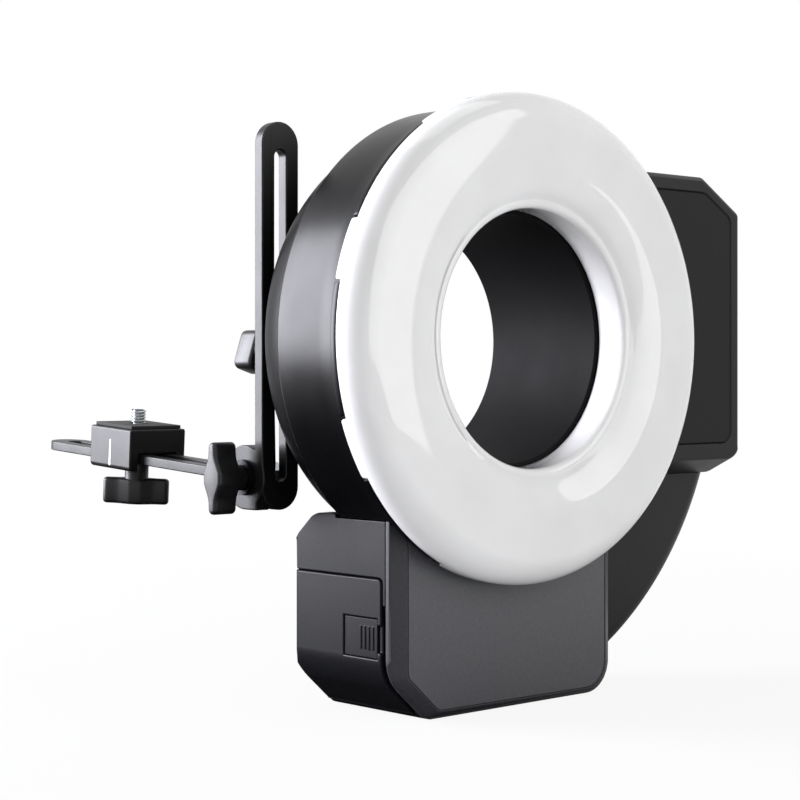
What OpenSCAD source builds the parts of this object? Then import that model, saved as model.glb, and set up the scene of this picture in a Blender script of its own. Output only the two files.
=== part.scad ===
// Macro ring flash: opal ring head, battery base, side control box and a slotted bracket.
// The origin is on the axis of the ring, in the front plane of the base panel.
// X points to the right seen from the front, Y to the back and Z up.

/* [Ring] */
// Outer radius of the ring
ring_r = 95; // [90:1:102]
// Clear radius of the hole through the ring
bore_r = 48.5; // [45:0.5:50]
// Wall of the tube that lines the hole
tube_wall = 2.1; // [1.5:0.1:2.6]
// Reach of the diffuser in front of the front plane
diffuser_reach = 19; // [18:0.5:24]
// Wall of the diffuser
diffuser_wall = 2.4; // [1.6:0.2:3]
// Rounding of the outer front edge of the diffuser
diffuser_round = 11; // [8:0.5:11]
// Width of the dished band round the hole
dish_w = 17; // [12:1:20]
// Depth of the dished band
dish_depth = 4.5; // [2:0.5:6]
// Distance from the front plane to the skirt between two teeth
skirt_edge = 6.6; // [6:0.1:7.5]
// Length of a skirt tooth
tooth_len = 2.9; // [1.5:0.1:4]
// Number of skirt teeth
tooth_count = 8; // [6:1:12]
// Angle that one tooth spans
tooth_angle = 14.3; // [8:0.1:20]
// Angle of the first tooth
tooth_start = 25.5; // [0:0.5:45]
// Height of the notched flange above the wall of the ring housing
flange_h = 3.8; // [3:0.2:5]
// Depth of the ring housing behind the front plane
housing_depth = 33.5; // [31:0.5:36]
// Rounding of the rear edge of the ring housing
housing_round = 3; // [1:0.5:4]
// Radius of the rear hub where it meets the ring housing
hub_r = 86.5; // [84:0.5:88]
// Radius of the flat back of the rear hub
hub_flat_r = 73.5; // [73:0.5:76]
// Depth of the whole head behind the front plane
head_depth = 59.5; // [56:0.5:64]
// Wall of the moulded shells
shell_wall = 2.5; // [2:0.1:3]

/* [Light] */
// Radius of the glass of the flash tube
glass_r = 4; // [3:0.5:5]
// Angle left open between the ends of the flash tube
lamp_gap_angle = 24; // [16:1:40]
// Number of clips that hold the flash tube
clip_count = 5; // [3:1:7]
// Number of modelling lamps
led_count = 12; // [6:1:16]
// Edge of a modelling lamp
led_size = 5; // [4:0.5:6]

/* [Base] */
// Width of the base
base_w = 122; // [112:1:132]
// Distance from the ring axis down to the underside
base_low = 143.6; // [140:0.2:152]
// Distance from the ring axis down to the shoulder of the base
base_top = 67; // [62:1:72]
// Depth of the base behind the front plane
base_depth = 57; // [55:0.5:59]
// Width of the slanted frame round the panel at its sides
bevel_w = 6.3; // [4:0.1:8]
// Height of the slanted frame at the underside
bevel_low = 2.6; // [1.5:0.1:4]
// Depth of the slanted frame
bevel_d = 5; // [4:0.5:6]
// Width of the cut corner of the base
corner_cut_w = 18.5; // [14:0.5:24]
// Height of the cut corner of the base
corner_cut_h = 16.6; // [12:0.2:20]
// Rounding between the side of the base and its cut corner
side_round = 16; // [10:0.5:18]
// Radius of the round corner of the base
corner_round = 13; // [8:0.5:16]
// Depth of the slope at the rear shoulder
shoulder_d = 16; // [12:0.5:20]
// Height of the slope at the rear shoulder
shoulder_h = 10.5; // [8:0.5:14]
// Rounding below the slope at the rear shoulder
shoulder_round = 8; // [4:0.5:12]
// Thickness of the bare front panel
panel_t = 1.2; // [0.8:0.1:2]
// Width of the battery pack
battery_w = 76; // [70:1:80]
// Height of the battery pack
battery_h = 40; // [36:0.5:41]
// Width of the bay that holds the capacitors
cap_bay_w = 29; // [26:0.5:30]
// Radius of a capacitor
cap_r = 11; // [9:0.5:11.2]
// Height of a capacitor
cap_h = 38; // [30:1:40]

/* [Battery door] */
// Distance from the ring axis down to the top of the door
door_top = 90; // [88:0.5:94]
// Distance from the front plane to the door
door_front = 7.2; // [6.6:0.1:9]
// Wall of the door
door_wall = 2.4; // [2:0.1:2.8]
// Height of the door above the side of the base
door_proud = 0.5; // [0.2:0.1:1]
// Length of the latch
latch_l = 18.5; // [14:0.5:22]
// Height of the latch
latch_h = 14.5; // [10:0.5:16]
// Distance from the ring axis down to the middle of the latch
latch_mid = 112.4; // [110:0.2:114]

/* [Control box] */
// Distance from the ring axis to the outer side of the box
control_right = 142.7; // [138:0.1:150]
// Distance from the ring axis to the inner side of the box
control_left = 78; // [74:0.5:82]
// Height of the top of the box above the ring axis
control_top = 71; // [68:0.5:76]
// Distance from the ring axis down to the front edge of the underside
control_low = 50.4; // [48:0.2:54]
// Depth of the box behind the front plane
control_depth = 52; // [48:0.5:56]
// Depth of the front shell of the box
control_split = 16; // [13:0.5:20]
// Width of the cut corner of the box
control_cut_w = 24.5; // [18:0.5:28]
// Height of the cut corner of the box
control_cut_h = 14.5; // [10:0.5:18]
// Radius of the corners of the box
control_round = 5; // [3:0.5:7]
// Border round the bare plate on the front of the box
plate_border = 7; // [5:0.5:9]
// Width of the display window
lcd_w = 34; // [30:0.5:36]
// Height of the display window
lcd_h = 25; // [20:0.5:27]
// Radius of the control dial
dial_r = 12; // [10:0.5:14]
// Height of the control dial
dial_h = 6; // [4:0.5:8]
// Width of a key
key_w = 8; // [6:0.5:9]
// Height of a key
key_h = 4.5; // [3.5:0.5:5.5]
// Travel of a key
key_travel = 1; // [0.6:0.1:1.2]
// Travel of the power switch
switch_travel = 4; // [3:0.5:5]
// Radius of the hole of the sync jack
jack_r = 1.77; // [1.3:0.01:3.2]

/* [Arm] */
// Outer radius of the arm about the ring axis
arm_r = 148.3; // [144:0.1:150]
// Distance from the front plane back to the face of the arm
arm_set = 13.3; // [11:0.1:15]
// Depth of the arm
arm_d = 36; // [30:0.5:40]
// Rounding of the outer edges of the arm
arm_round = 8; // [4:0.5:10]
// Drop of the slope under the control box
slope_drop = 6.6; // [4:0.2:8]

/* [Bracket] */
// Distance from the ring axis to the middle of the bracket
bracket_x = 67; // [66:0.5:68]
// Width of the bar and of the rail
bar_w = 18; // [17:0.5:20]
// Thickness of the bar
bar_t = 5; // [4:0.5:6]
// Height of the top of the bar above the ring axis
bar_top = 84.6; // [78:0.2:92]
// Distance from the ring axis down to the foot of the bar
bar_low = 66.6; // [66:0.2:69]
// Width of the slot in the bar
slot_w = 5.6; // [5.2:0.1:6.5]
// Bridge between the slot and each end of the bar
slot_bridge = 11; // [9:0.5:14]
// Height of the clamp screw relative to the ring axis
clamp_z = -5; // [-8:0.5:2]
// Distance from the ring axis down to the pivot of the rail
pivot_low = 54; // [53:0.5:55]
// Radius of the ear at the foot of the bar
ear_r = 12.6; // [11:0.2:13]
// Thickness of the ear
ear_t = 6; // [5:0.5:6.2]
// Radius of the tongue of the rail
tongue_r = 6.4; // [6:0.1:7]
// Thickness of the tongue of the rail
tongue_t = 5; // [4:0.2:5.4]
// Rise of the rail to the back
rail_tilt = 3.5; // [0:0.5:8]
// Length of the rail behind its pivot
rail_len = 147; // [130:1:160]
// Thickness of the rail
rail_t = 4; // [3:0.5:5]
// Width of the slot in the rail
rail_slot_w = 6.9; // [6.8:0.1:8]
// Distance from the pivot to the middle of the slider block
block_at = 86.5; // [60:0.5:110]
// Width of the slider block
block_w = 28; // [25:0.5:32]
// Length of the slider block
block_l = 30; // [24:0.5:34]
// Height of the slider block above the middle of the rail
block_up = 12.6; // [10:0.2:16]
// Reach of the slider block below the middle of the rail
block_down = 4.9; // [3.5:0.1:6]
// Thickness of the pad on the slider block
pad_t = 1.5; // [1:0.1:2]
// Free length of the tripod screw above the pad
screw_free = 5.5; // [4.5:0.1:6.5]

/* [Wing knobs] */
// Span of a wing knob
wing_span = 28; // [24:0.5:32]
// Thickness of a wing at its middle
wing_mid = 11; // [10:0.5:13]
// Thickness of a wing at its tips
wing_tip = 4.5; // [4:0.5:6]
// Height of a wing
wing_h = 11; // [8:0.5:13]
// Length of the clamp knob
clamp_l = 16; // [13:0.5:18]
// Width of the clamp knob
clamp_w = 12; // [10.8:0.2:13]
// Radius of the neck of a wing knob
neck_r = 5; // [4.5:0.1:5.4]
// Height of the neck of a wing knob
neck_h = 3.2; // [2:0.2:4]
// Height of the neck of the tripod knob
tripod_neck = 4.4; // [3:0.2:6]
// Turn of the wings of the clamp knob
clamp_turn = -72; // [-90:1:0]
// Turn of the wings of the tripod knob
tripod_turn = -42; // [-90:1:90]

/* [Clearances] */
// Gap between pieces that move apart
part_gap = 0.3; // [0.2:0.05:0.4]
// Radial clearance of a shaft in its hole
run_gap = 0.05; // [0.02:0.01:0.1]
// Gap round an inlaid piece
inlay_gap = 0.2; // [0.1:0.05:0.3]

/* [Hidden] */
$fn = 96;
BLACK = "#1b1b1d";
DARK = "#3b3b3d";
OPAL = "#f1f1ef";
SILVER = "#c4c6c9";
BRASS = "#b5974f";
GREEN = "#24553a";
// Overshoot of cutting bodies
eps = 1;

// Screw radii: M5 clamp screw, M6 pivot screw and 1/4 inch tripod screw
m5_r = 2.5;
m6_r = 3;
quarter_r = 3.175;
quarter_root_r = 2.45;

// Ring
tube_r = bore_r + tube_wall;
hole_r = tube_r - 0.6;
skirt_r = ring_r - diffuser_wall;
housing_r = ring_r - flange_h;
tooth_pitch = 360 / tooth_count;
lip_l = 2;
floor_front = housing_depth - shell_wall;
collar_r = tube_r + part_gap;
collar_out_r = collar_r + shell_wall - 0.4;
// The hub is one arc that starts square to the housing and ends at the flat back
hub_rise = head_depth - housing_depth;
hub_narrow = hub_r - hub_flat_r;
hub_arc_r = (hub_narrow * hub_narrow + hub_rise * hub_rise) / (2 * hub_narrow);
hub_arc_x = hub_r - hub_arc_r;
hub_screws_n = 4;
hub_screw_at = (tube_r + hub_flat_r) / 2;
hub_boss_r = 3.5;
hub_boss_top = head_depth - shell_wall - part_gap;

// Light
reflector_wall = 1;
reflector_in_r = collar_out_r + part_gap;
reflector_out_r = housing_r - shell_wall - part_gap;
reflector_floor = floor_front - part_gap;
reflector_lip = 2;
reflector_slope = 7;
lamp_ring_r = (reflector_in_r + reflector_out_r) / 2;
lamp_rise = 17;
lamp_y = reflector_floor - lamp_rise;
clip_w = 5;
clip_l = 2 * glass_r + 4;
electrode_l = 9;

// Base
base_z = -base_low;
bay_floor = base_z + shell_wall;
bay_back = base_depth - shell_wall;
bay_front = bevel_d;
bay_left = -base_w / 2 - eps;
bay_roof = bay_floor + max(battery_h, cap_h) + 1;
cap_bay_x1 = base_w / 2 - shell_wall;
cap_bay_x0 = cap_bay_x1 - cap_bay_w;
battery_bay_x1 = cap_bay_x0 - shell_wall;
contact_t = 2;
battery_x1 = battery_bay_x1 - contact_t - part_gap;
battery_x0 = battery_x1 - battery_w;
battery_y0 = bay_front + part_gap;
battery_y1 = bay_back - part_gap;
notch_l = 2.5;
latch_travel = 1.2;
latch_sink = 0.5;
rib_count = 4;
rib_w = 0.9;
rib_h = 0.4;
latch_y0 = door_front + notch_l;
panel_rim = 0.6;
cut_round = 4;
corner_step = 15;
door_edge = 3;
door_corner = 2;
rear_slope = 1.8;
contact_pitch = 9;
contact_h = 12;
contact_w = 4;
// Upright edge behind the slanted frame, and width of the frame at the cut corner
bevel_land = 0.6;
bevel_cut = (bevel_w + bevel_low) / 2;

// Control box
control_z = -control_low - slope_drop;
box_in_r = ring_r + part_gap;
control_mid = (box_in_r + control_right) / 2;
edge_slope = 2;
plate_t = 0.6;
back_in = control_depth - shell_wall;
board_t = 1.6;
board_y = back_in - 8.5;
lcd_bezel = 1.5;
lcd_t = 1;
lcd_z = control_top - control_cut_h - plate_border - lcd_h / 2;
key_drop = 6;
key_z = lcd_z - lcd_h / 2 - key_drop;
key_pitch = key_w + 4;
key_proud = 1.2;
key_flange = 0.8;
dial_z = key_z - key_drop - dial_r - 3;
flute_count = 24;
flute_r = 0.9;
shaft_r = 6;
set_r = 5;
encoder_w = 13;
encoder_h = 3;
test_r = 4;
test_x = control_mid - dial_r + 2;
test_z = dial_z - dial_r - 10;
switch_w = 5;
switch_h = 6;
switch_x = control_mid + dial_r - 3;
lamp_r = 1.5;
ready_z = test_z + 2 * test_r;
board_edge = test_r + 5;
board_left = 17;
jack_out_r = 4;
jack_y = control_split + 2.5 * jack_out_r;
jack_z = 16;
jack_l = 12;
jack_proud = 0.6;

// Bracket
bar_y = head_depth + part_gap;
bar_back = bar_y + bar_t;
pivot_y = bar_back + part_gap + tongue_r;
pivot_z = -pivot_low;
ear_x = -bracket_x - bar_w / 2;
tongue_x = ear_x + ear_t + part_gap;
nut_x = tongue_x + tongue_t;
ear_dip = 2.4;
nut_h = 5;
nut_r = 5.6;
rail_start = ear_r + 1.2;
rail_slot_start = rail_start + 9;
rail_slot_end = rail_len - 9;
insert_r = 4.3;
insert_l = 12;
boss_r = insert_r + 2;
washer_t = 1.5;
washer_r = 7;
screw_head_r = 2.6;
screw_r = 1.5;
screw_head_h = 1.2;
screw_l = 7;
screw_points = [[control_left + 15, control_top - 5], [control_right - 5, control_z + 6]];

// Points of a rounded corner at b between a and c
function fillet(a, b, c, r, n = 6) =
    let (
        u = (a - b) / norm(a - b),
        v = (c - b) / norm(c - b),
        half = acos(u * v) / 2,
        centre = b + (u + v) / norm(u + v) * r / sin(half),
        p0 = b + u * r / tan(half) - centre,
        p1 = b + v * r / tan(half) - centre,
        a0 = atan2(p0.y, p0.x),
        turn = (atan2(p1.y, p1.x) - a0 + 540) % 360 - 180
    )
    [for (i = [0 : n]) centre + r * [cos(a0 + turn * i / n), sin(a0 + turn * i / n)]];

// Outline whose corners [x, y, radius] are rounded where the radius is above zero
function rounded(pts) =
    let (n = len(pts))
    [
        for (i = [0 : n - 1])
            let (
                a = pts[(i + n - 1) % n],
                b = pts[i],
                c = pts[(i + 1) % n]
            )
            each (b[2] > 0 ? fillet([a.x, a.y], [b.x, b.y], [c.x, c.y], b[2]) : [[b.x, b.y]])
    ];

// Points of an arc about [cx, cy]
function arc(cx, cy, r, a0, a1, n = 10) =
    [for (i = [0 : n]) [cx + r * cos(a0 + (a1 - a0) * i / n), cy + r * sin(a0 + (a1 - a0) * i / n)]];

// Turns a profile of [radius, y] about the ring axis
module about_y(angle = 360) {
    rotate([-90, 0, 0]) rotate_extrude(angle = angle) children();
}

// Extrudes an outline of [x, z] from y0 to y1
module along_y(y0, y1) {
    translate([0, y1, 0]) rotate([90, 0, 0]) linear_extrude(y1 - y0) children();
}

// Extrudes an outline of [y, z] from x0 to x1
module along_x(x0, x1) {
    translate([x0, 0, 0]) rotate([90, 0, 90]) linear_extrude(x1 - x0) children();
}

// Round bar along Y
module y_rod(r, y0, y1, x = 0, z = 0) {
    translate([x, y0, z]) rotate([-90, 0, 0]) cylinder(r = r, h = y1 - y0);
}

// Round bar along X
module x_rod(r, x0, x1, y = 0, z = 0) {
    translate([x0, y, z]) rotate([0, 90, 0]) cylinder(r = r, h = x1 - x0);
}

// Box from its low and high corners
module box(low, high) {
    translate(low) cube(high - low);
}

// Places children at an angle round the ring, counted from +X towards +Z
module at_angle(a) {
    rotate([0, -a, 0]) children();
}

// Piece of a ring wall that spans one angle about the ring axis
module ring_sector(r0, r1, y0, y1, angle) {
    at_angle(angle / 2) about_y(angle) polygon([[r0, y0], [r1, y0], [r1, y1], [r0, y1]]);
}

// Row of sectors round the ring, one for each tooth
module tooth_row(first, angle, r0, r1, y0, y1) {
    for (i = [0 : tooth_count - 1])
        at_angle(first + i * tooth_pitch) ring_sector(r0, r1, y0, y1, angle);
}

// Opal ring: rounded outer edge, flat crest, dished band and a toothed skirt
module diffuser() {
    front = -diffuser_reach;
    crest_r = hole_r + dish_w;
    rim_y = front + dish_depth;
    nose = 2.6;
    inner_round = diffuser_round - diffuser_wall;
    round_r = ring_r - diffuser_round;
    round_y = front + diffuser_round;
    skirt_y = tooth_len - skirt_edge;
    color(OPAL) difference() {
        about_y() polygon(concat(
            [[ring_r, skirt_y]],
            arc(round_r, round_y, diffuser_round, 0, -90),
            [[crest_r, front], [hole_r + dish_w * 0.55, front + dish_depth * 0.28]],
            arc(hole_r + nose, rim_y + nose, nose, -70, -180, 6),
            [[hole_r, -part_gap], [hole_r + diffuser_wall, -part_gap]],
            [[hole_r + diffuser_wall, rim_y + nose]],
            [[hole_r + dish_w * 0.55, front + dish_depth * 0.28 + diffuser_wall]],
            [[crest_r, front + diffuser_wall]],
            arc(round_r, round_y, inner_round, -90, 0),
            [[skirt_r, skirt_y]]
        ));
        tooth_row(
            tooth_start + tooth_pitch / 2, tooth_pitch - tooth_angle,
            skirt_r - eps, ring_r + eps, -skirt_edge, skirt_y + eps);
    }
}

// Ring-shaped tray: outer wall, flange with notches for the teeth, floor and inner collar
module ring_housing() {
    edge = -skirt_edge + part_gap;
    flange_set = 0.2;
    flange_r = ring_r - flange_set;
    flange_back = edge + tooth_len;
    wall_in_r = housing_r - shell_wall;
    tooth_clear = 2 * part_gap / ring_r * 180 / PI;
    color(BLACK) difference() {
        union() {
            about_y() polygon(concat(
                [[wall_in_r, edge - lip_l], [skirt_r - part_gap, edge - lip_l]],
                [[skirt_r - part_gap, edge], [flange_r, edge]],
                [[flange_r, flange_back], [housing_r, flange_back]],
                arc(housing_r - housing_round, housing_depth - housing_round, housing_round, 0, 90, 6),
                [[collar_r, housing_depth], [collar_r, 0], [collar_out_r, 0]],
                [[collar_out_r, floor_front], [wall_in_r, floor_front]]
            ));
            hub_points() y_rod(hub_boss_r, floor_front + eps, hub_boss_top);
        }
        hub_points() y_rod(screw_r + run_gap, hub_boss_top - screw_l, hub_boss_top + eps);
        tooth_row(
            tooth_start, tooth_angle + tooth_clear,
            skirt_r - part_gap, ring_r + eps, edge - eps, flange_back + eps);
    }
}

// Places children at the screws of the rear hub
module hub_points() {
    for (i = [0 : hub_screws_n - 1])
        at_angle(45 + i * 360 / hub_screws_n) translate([hub_screw_at, 0, 0]) children();
}

// Profile of the outside of the rear hub, grown by g
function hub_side(g) =
    let (last = asin(hub_rise / hub_arc_r))
    arc(hub_arc_x, housing_depth, hub_arc_r + g, 0, last);

// Bowl-shaped rear cover with the boss that takes the clamp insert
module rear_hub() {
    back_in_y = head_depth - shell_wall;
    in_r = hub_arc_r - shell_wall;
    last = asin((back_in_y - housing_depth) / in_r);
    color(BLACK) difference() {
        union() {
            about_y() polygon(concat(
                [[tube_r + inlay_gap, head_depth], [tube_r + inlay_gap, back_in_y]],
                arc(hub_arc_x, housing_depth, in_r, last, 0),
                hub_side(0)
            ));
            intersection() {
                y_rod(boss_r, head_depth - insert_l - 2, head_depth - shell_wall / 2, -bracket_x, clamp_z);
                about_y() polygon(concat([[0, housing_depth]], hub_side(-shell_wall / 2), [[0, head_depth]]));
            }
        }
        y_rod(insert_r + run_gap, head_depth - insert_l, head_depth + eps, -bracket_x, clamp_z);
        y_rod(m5_r + 1, housing_depth, head_depth, -bracket_x, clamp_z);
        hub_points() {
            y_rod(screw_r + run_gap, housing_depth, head_depth + eps);
            y_rod(screw_head_r + inlay_gap, head_depth - screw_head_h, head_depth + eps);
        }
    }
}

module hub_screws() {
    hub_points() case_screw(head_depth);
}

module clamp_insert() {
    color(BRASS) difference() {
        y_rod(insert_r, head_depth - insert_l, head_depth, -bracket_x, clamp_z);
        y_rod(m5_r + run_gap, housing_depth, head_depth + eps, -bracket_x, clamp_z);
    }
}

module inner_tube() {
    color(BLACK) difference() {
        y_rod(tube_r, 0, head_depth);
        y_rod(bore_r, -eps, head_depth + eps);
    }
}

// Polished trough behind the flash tube
module reflector() {
    w = reflector_wall;
    floor_in = reflector_in_r + reflector_slope;
    floor_out = reflector_out_r - reflector_slope;
    color(SILVER) about_y() polygon([
        [reflector_in_r, reflector_lip],
        [floor_in - w, reflector_floor],
        [floor_out + w, reflector_floor],
        [reflector_out_r, reflector_lip],
        [reflector_out_r - w, reflector_lip],
        [floor_out, reflector_floor - w],
        [floor_in, reflector_floor - w],
        [reflector_in_r + w, reflector_lip]
    ]);
}

// Glass ring of the flash tube, open at the foot
module flash_tube() {
    turn = 360 - lamp_gap_angle;
    color("#e9eef2") at_angle(-90 - lamp_gap_angle / 2) about_y(turn)
        translate([lamp_ring_r, lamp_y]) circle(r = glass_r);
}

module tube_electrodes() {
    foot = reflector_floor - reflector_wall - part_gap;
    pin_r = 1.2;
    cap_angle = electrode_l / lamp_ring_r * 180 / PI;
    for (side = [-1, 1])
        color(SILVER) at_angle(-90 + side * (lamp_gap_angle / 2 - cap_angle / 2)) {
            ring_sector(
                lamp_ring_r - glass_r, lamp_ring_r + glass_r,
                lamp_y - glass_r, lamp_y + glass_r, cap_angle - 0.4);
            y_rod(pin_r, lamp_y, foot, lamp_ring_r);
        }
}

// Saddles that stand on the reflector floor and hold the glass
module tube_clips() {
    foot = reflector_floor - reflector_wall;
    for (i = [0 : clip_count - 1])
        color(OPAL) at_angle(-90 + (i + 1) * 360 / (clip_count + 1)) difference() {
            box(
                [lamp_ring_r - clip_l / 2, lamp_y, -clip_w / 2],
                [lamp_ring_r + clip_l / 2, foot, clip_w / 2]);
            translate([lamp_ring_r, lamp_y, 0]) cylinder(r = glass_r + part_gap, h = 3 * clip_w, center = true);
        }
}

module modelling_lamps() {
    foot = reflector_floor - reflector_wall;
    led_r = reflector_in_r + reflector_slope + led_size / 2 + part_gap;
    led_t = 1.4;
    color("#e8d98a") for (i = [0 : led_count - 1])
        at_angle((i + 0.5) * 360 / led_count)
            box([led_r - led_size / 2, foot - led_t, -led_size / 2], [led_r + led_size / 2, foot, led_size / 2]);
}

module trigger_coil() {
    coil_w = 18;
    coil_d = 14;
    low = tube_r + 8;
    color("#7a4a26") box([-coil_w / 2, housing_depth, low], [coil_w / 2, housing_depth + coil_d, low + coil_w]);
}

// Outline of the base with its sides, underside and cut corner moved in
function base_outline(side, low, cut, round_r) =
    let (
        l = norm([corner_cut_w, corner_cut_h]),
        z_cut = base_z + corner_cut_h + (cut * l - corner_cut_h * side) / corner_cut_w,
        x_cut = -base_w / 2 + (cut * l - corner_cut_w * (low - corner_cut_h)) / corner_cut_h
    )
    rounded([
        [-base_w / 2 + side, -base_top, 0],
        [-base_w / 2 + side, z_cut, max(cut_round, side_round - 2.5 * cut)],
        [x_cut, base_z + low, cut_round],
        [base_w / 2 - side, base_z + low, round_r],
        [base_w / 2 - side, -base_top, 0]
    ]);

// Side view of the base: the slope at the rear shoulder
module base_side() {
    along_x(-base_w, base_w) polygon(rounded([
        [-eps, -base_top, 0],
        [base_depth - shoulder_d, -base_top, 0],
        [base_depth, -base_top - shoulder_h, shoulder_round],
        [base_depth, base_z, 0],
        [-eps, base_z, 0]
    ]));
}

// Room of the ring housing and of the rear hub, with a clearance
module head_room(g) {
    y_rod(housing_r + g, -diffuser_reach, housing_depth + g);
    about_y() polygon(concat([[0, housing_depth]], hub_side(g), [[0, head_depth + g]]));
}

// Body of the battery door, which wraps the side and the cut corner
module door_body(grow) {
    front = door_front - grow;
    top = -door_top + grow;
    back = base_depth + (grow > 0 ? eps : 0);
    intersection() {
        along_y(front - eps, back) difference() {
            polygon(base_outline(-door_proud - grow, -door_proud - grow, -door_proud - grow, corner_round));
            polygon(base_outline(
                door_wall - door_proud + grow, door_wall - door_proud + grow,
                door_wall - door_proud + grow, corner_round));
            translate([-base_w / 2 + corner_cut_w - door_edge + grow, 2 * base_z])
                square([2 * base_w, 3 * base_low]);
        }
        along_x(-base_w, base_w) polygon(rounded([
            [front, top, door_corner],
            [front, 2 * base_z, 0],
            [back + eps, 2 * base_z, 0],
            [back + eps, top, 0]
        ]));
    }
}

// Body of the latch, grown at its edges and through the door for its opening
module latch_block(grow, through) {
    x0 = -base_w / 2 - door_proud;
    half = latch_h / 2 + grow;
    box(
        [x0 + latch_sink - through, latch_y0 - grow, -latch_mid - half],
        [x0 + door_wall + through, latch_y0 + latch_l + grow, -latch_mid + half]);
}

module base_shell() {
    color(BLACK) difference() {
        intersection() {
            along_y(bevel_d, base_depth) polygon(base_outline(0, 0, 0, corner_round));
            base_side();
        }
        head_room(part_gap);
        box([bay_left, bay_front - eps, bay_floor], [battery_bay_x1, bay_back, bay_roof]);
        box([cap_bay_x0, bay_front - eps, bay_floor], [cap_bay_x1, bay_back, bay_roof]);
        door_body(part_gap);
        latch_runway();
        rear_slopes();
    }
}

// Slopes along the front edges of the base: at its sides, underside and cut corner
module base_slopes(side, low, cut, run) {
    half = base_w / 2;
    for (s = [-1, 1]) front_slope(s * half, 0, -90 * s, side, run);
    front_slope(0, base_z, 0, low, run);
    front_slope(-half, base_z + corner_cut_h, atan2(corner_cut_h, corner_cut_w), cut, run);
    // steps round the round corner
    inner = low - panel_rim;
    for (a = [corner_step : corner_step : 90 - corner_step])
        front_slope(
            half - corner_round * (1 - sin(a)), base_z + corner_round * (1 - cos(a)), -a,
            inner + (low - inner) * cos(a) + (side - inner) * sin(a), run);
}

// The same along the rear edges
module rear_slopes() {
    translate([0, base_depth, 0]) mirror([0, 1, 0])
        base_slopes(rear_slope, rear_slope, rear_slope, rear_slope);
}

// Groove in the rear wall for the pressed latch when the door slides off
module latch_runway() {
    half = latch_h / 2 + part_gap;
    depth = door_wall - door_proud + latch_travel + part_gap;
    box(
        [-base_w / 2 - eps, bay_back - eps, -latch_mid - half],
        [-base_w / 2 + depth, base_depth + eps, -latch_mid + half]);
}

// Cuts a slope along the front edge whose inner side lies at the angle from +Z towards +X
module front_slope(x, z, angle, rise, run) {
    far = 2 * control_right;
    over = rise * eps / run;
    translate([x, 0, z]) rotate([0, angle, 0]) along_x(-far, far)
        polygon([[-eps, rise + over], [run + eps, -over], [run + eps, -far], [-eps, -far]]);
}

// Slanted frame round the front of the base, with a recess for the panel
module base_cover() {
    color(BLACK) difference() {
        along_y(0, bevel_d) polygon(base_outline(0, 0, 0, corner_round));
        base_slopes(bevel_w, bevel_low, bevel_cut, bevel_d - bevel_land);
        head_room(part_gap);
        along_y(-eps, panel_t) polygon(panel_outline(0));
    }
}

function panel_outline(g) =
    base_outline(
        bevel_w + panel_rim + g, bevel_low + panel_rim + g,
        bevel_cut + panel_rim + g, corner_round - bevel_low);

module base_panel() {
    color(DARK) difference() {
        along_y(0, panel_t) polygon(panel_outline(inlay_gap));
        head_room(part_gap);
    }
}

module battery_pack() {
    inset = door_wall - door_proud + key_travel;
    color("#2a2c30") intersection() {
        box([battery_x0, battery_y0, bay_floor], [battery_x1, battery_y1, bay_floor + battery_h]);
        along_y(0, base_depth) polygon(base_outline(inset, 0, inset, corner_round));
    }
}

module battery_contacts() {
    mid = (battery_y0 + battery_y1) / 2;
    low = bay_floor + battery_h / 2 - contact_h / 2;
    color(BRASS) for (i = [-1 : 1])
        box(
            [battery_bay_x1 - contact_t, mid + i * contact_pitch - contact_w / 2, low],
            [battery_bay_x1, mid + i * contact_pitch + contact_w / 2, low + contact_h]);
}

module capacitors() {
    mid = (cap_bay_x0 + cap_bay_x1) / 2;
    half = (bay_back - bay_front) / 4;
    color("#26345e") for (y = [bay_front + half, bay_back - half])
        translate([mid, y, bay_floor]) cylinder(r = cap_r, h = cap_h);
}

module battery_door() {
    color(BLACK) difference() {
        door_body(0);
        latch_block(part_gap, eps);
        finger_notch();
        rear_slopes();
    }
}

// Hollow at the front edge of the latch for a fingertip
module finger_notch() {
    notch_h = latch_h * 0.7;
    box(
        [-base_w / 2 - door_proud - eps, door_front - eps, -latch_mid - notch_h / 2],
        [-base_w / 2 - door_proud + door_wall / 2, latch_y0, -latch_mid + notch_h / 2]);
}

// Press plate of the door with ribs for the thumb
module door_latch() {
    x0 = -base_w / 2 - door_proud;
    pitch = latch_l / 8;
    half = latch_h * 0.3;
    color(BLACK) {
        latch_block(0, 0);
        for (i = [0 : rib_count - 1]) let (y = latch_y0 + pitch * (i + 1))
            box(
                [x0 + latch_sink - rib_h, y - rib_w / 2, -latch_mid - half],
                [x0 + latch_sink + rib_h, y + rib_w / 2, -latch_mid + half]);
    }
}

// Outline of the control box, moved in by d
function control_outline(d, low) = rounded([
    [control_left + d, control_top - d, 0],
    [control_right - control_cut_w, control_top - d, control_round],
    [control_right - d, control_top - control_cut_h - d * 0.4, control_round],
    [control_right - d, low + d, control_round],
    [control_left + d, low + d, 0]
]);

// Side view of the control box: the slope under its front edge
module control_side() {
    along_x(0, 2 * control_right) polygon([
        [0, control_top],
        [control_depth, control_top],
        [control_depth, control_z],
        [arm_set, control_z],
        [0, -control_low]
    ]);
}

// Slopes along the free front edges of the control box
module control_slopes() {
    cut_angle = atan2(-control_cut_h, -control_cut_w);
    front_slope(0, control_top, 180, edge_slope, edge_slope);
    front_slope(control_right, control_top - control_cut_h, cut_angle, edge_slope, edge_slope);
    front_slope(control_right, 0, -90, edge_slope, edge_slope);
}

module control_body(y0, y1) {
    difference() {
        intersection() {
            along_y(y0, y1) polygon(control_outline(0, control_z));
            control_side();
        }
        head_room(part_gap);
        control_slopes();
        translate([0, control_depth, 0]) mirror([0, 1, 0]) control_slopes();
    }
}

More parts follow.
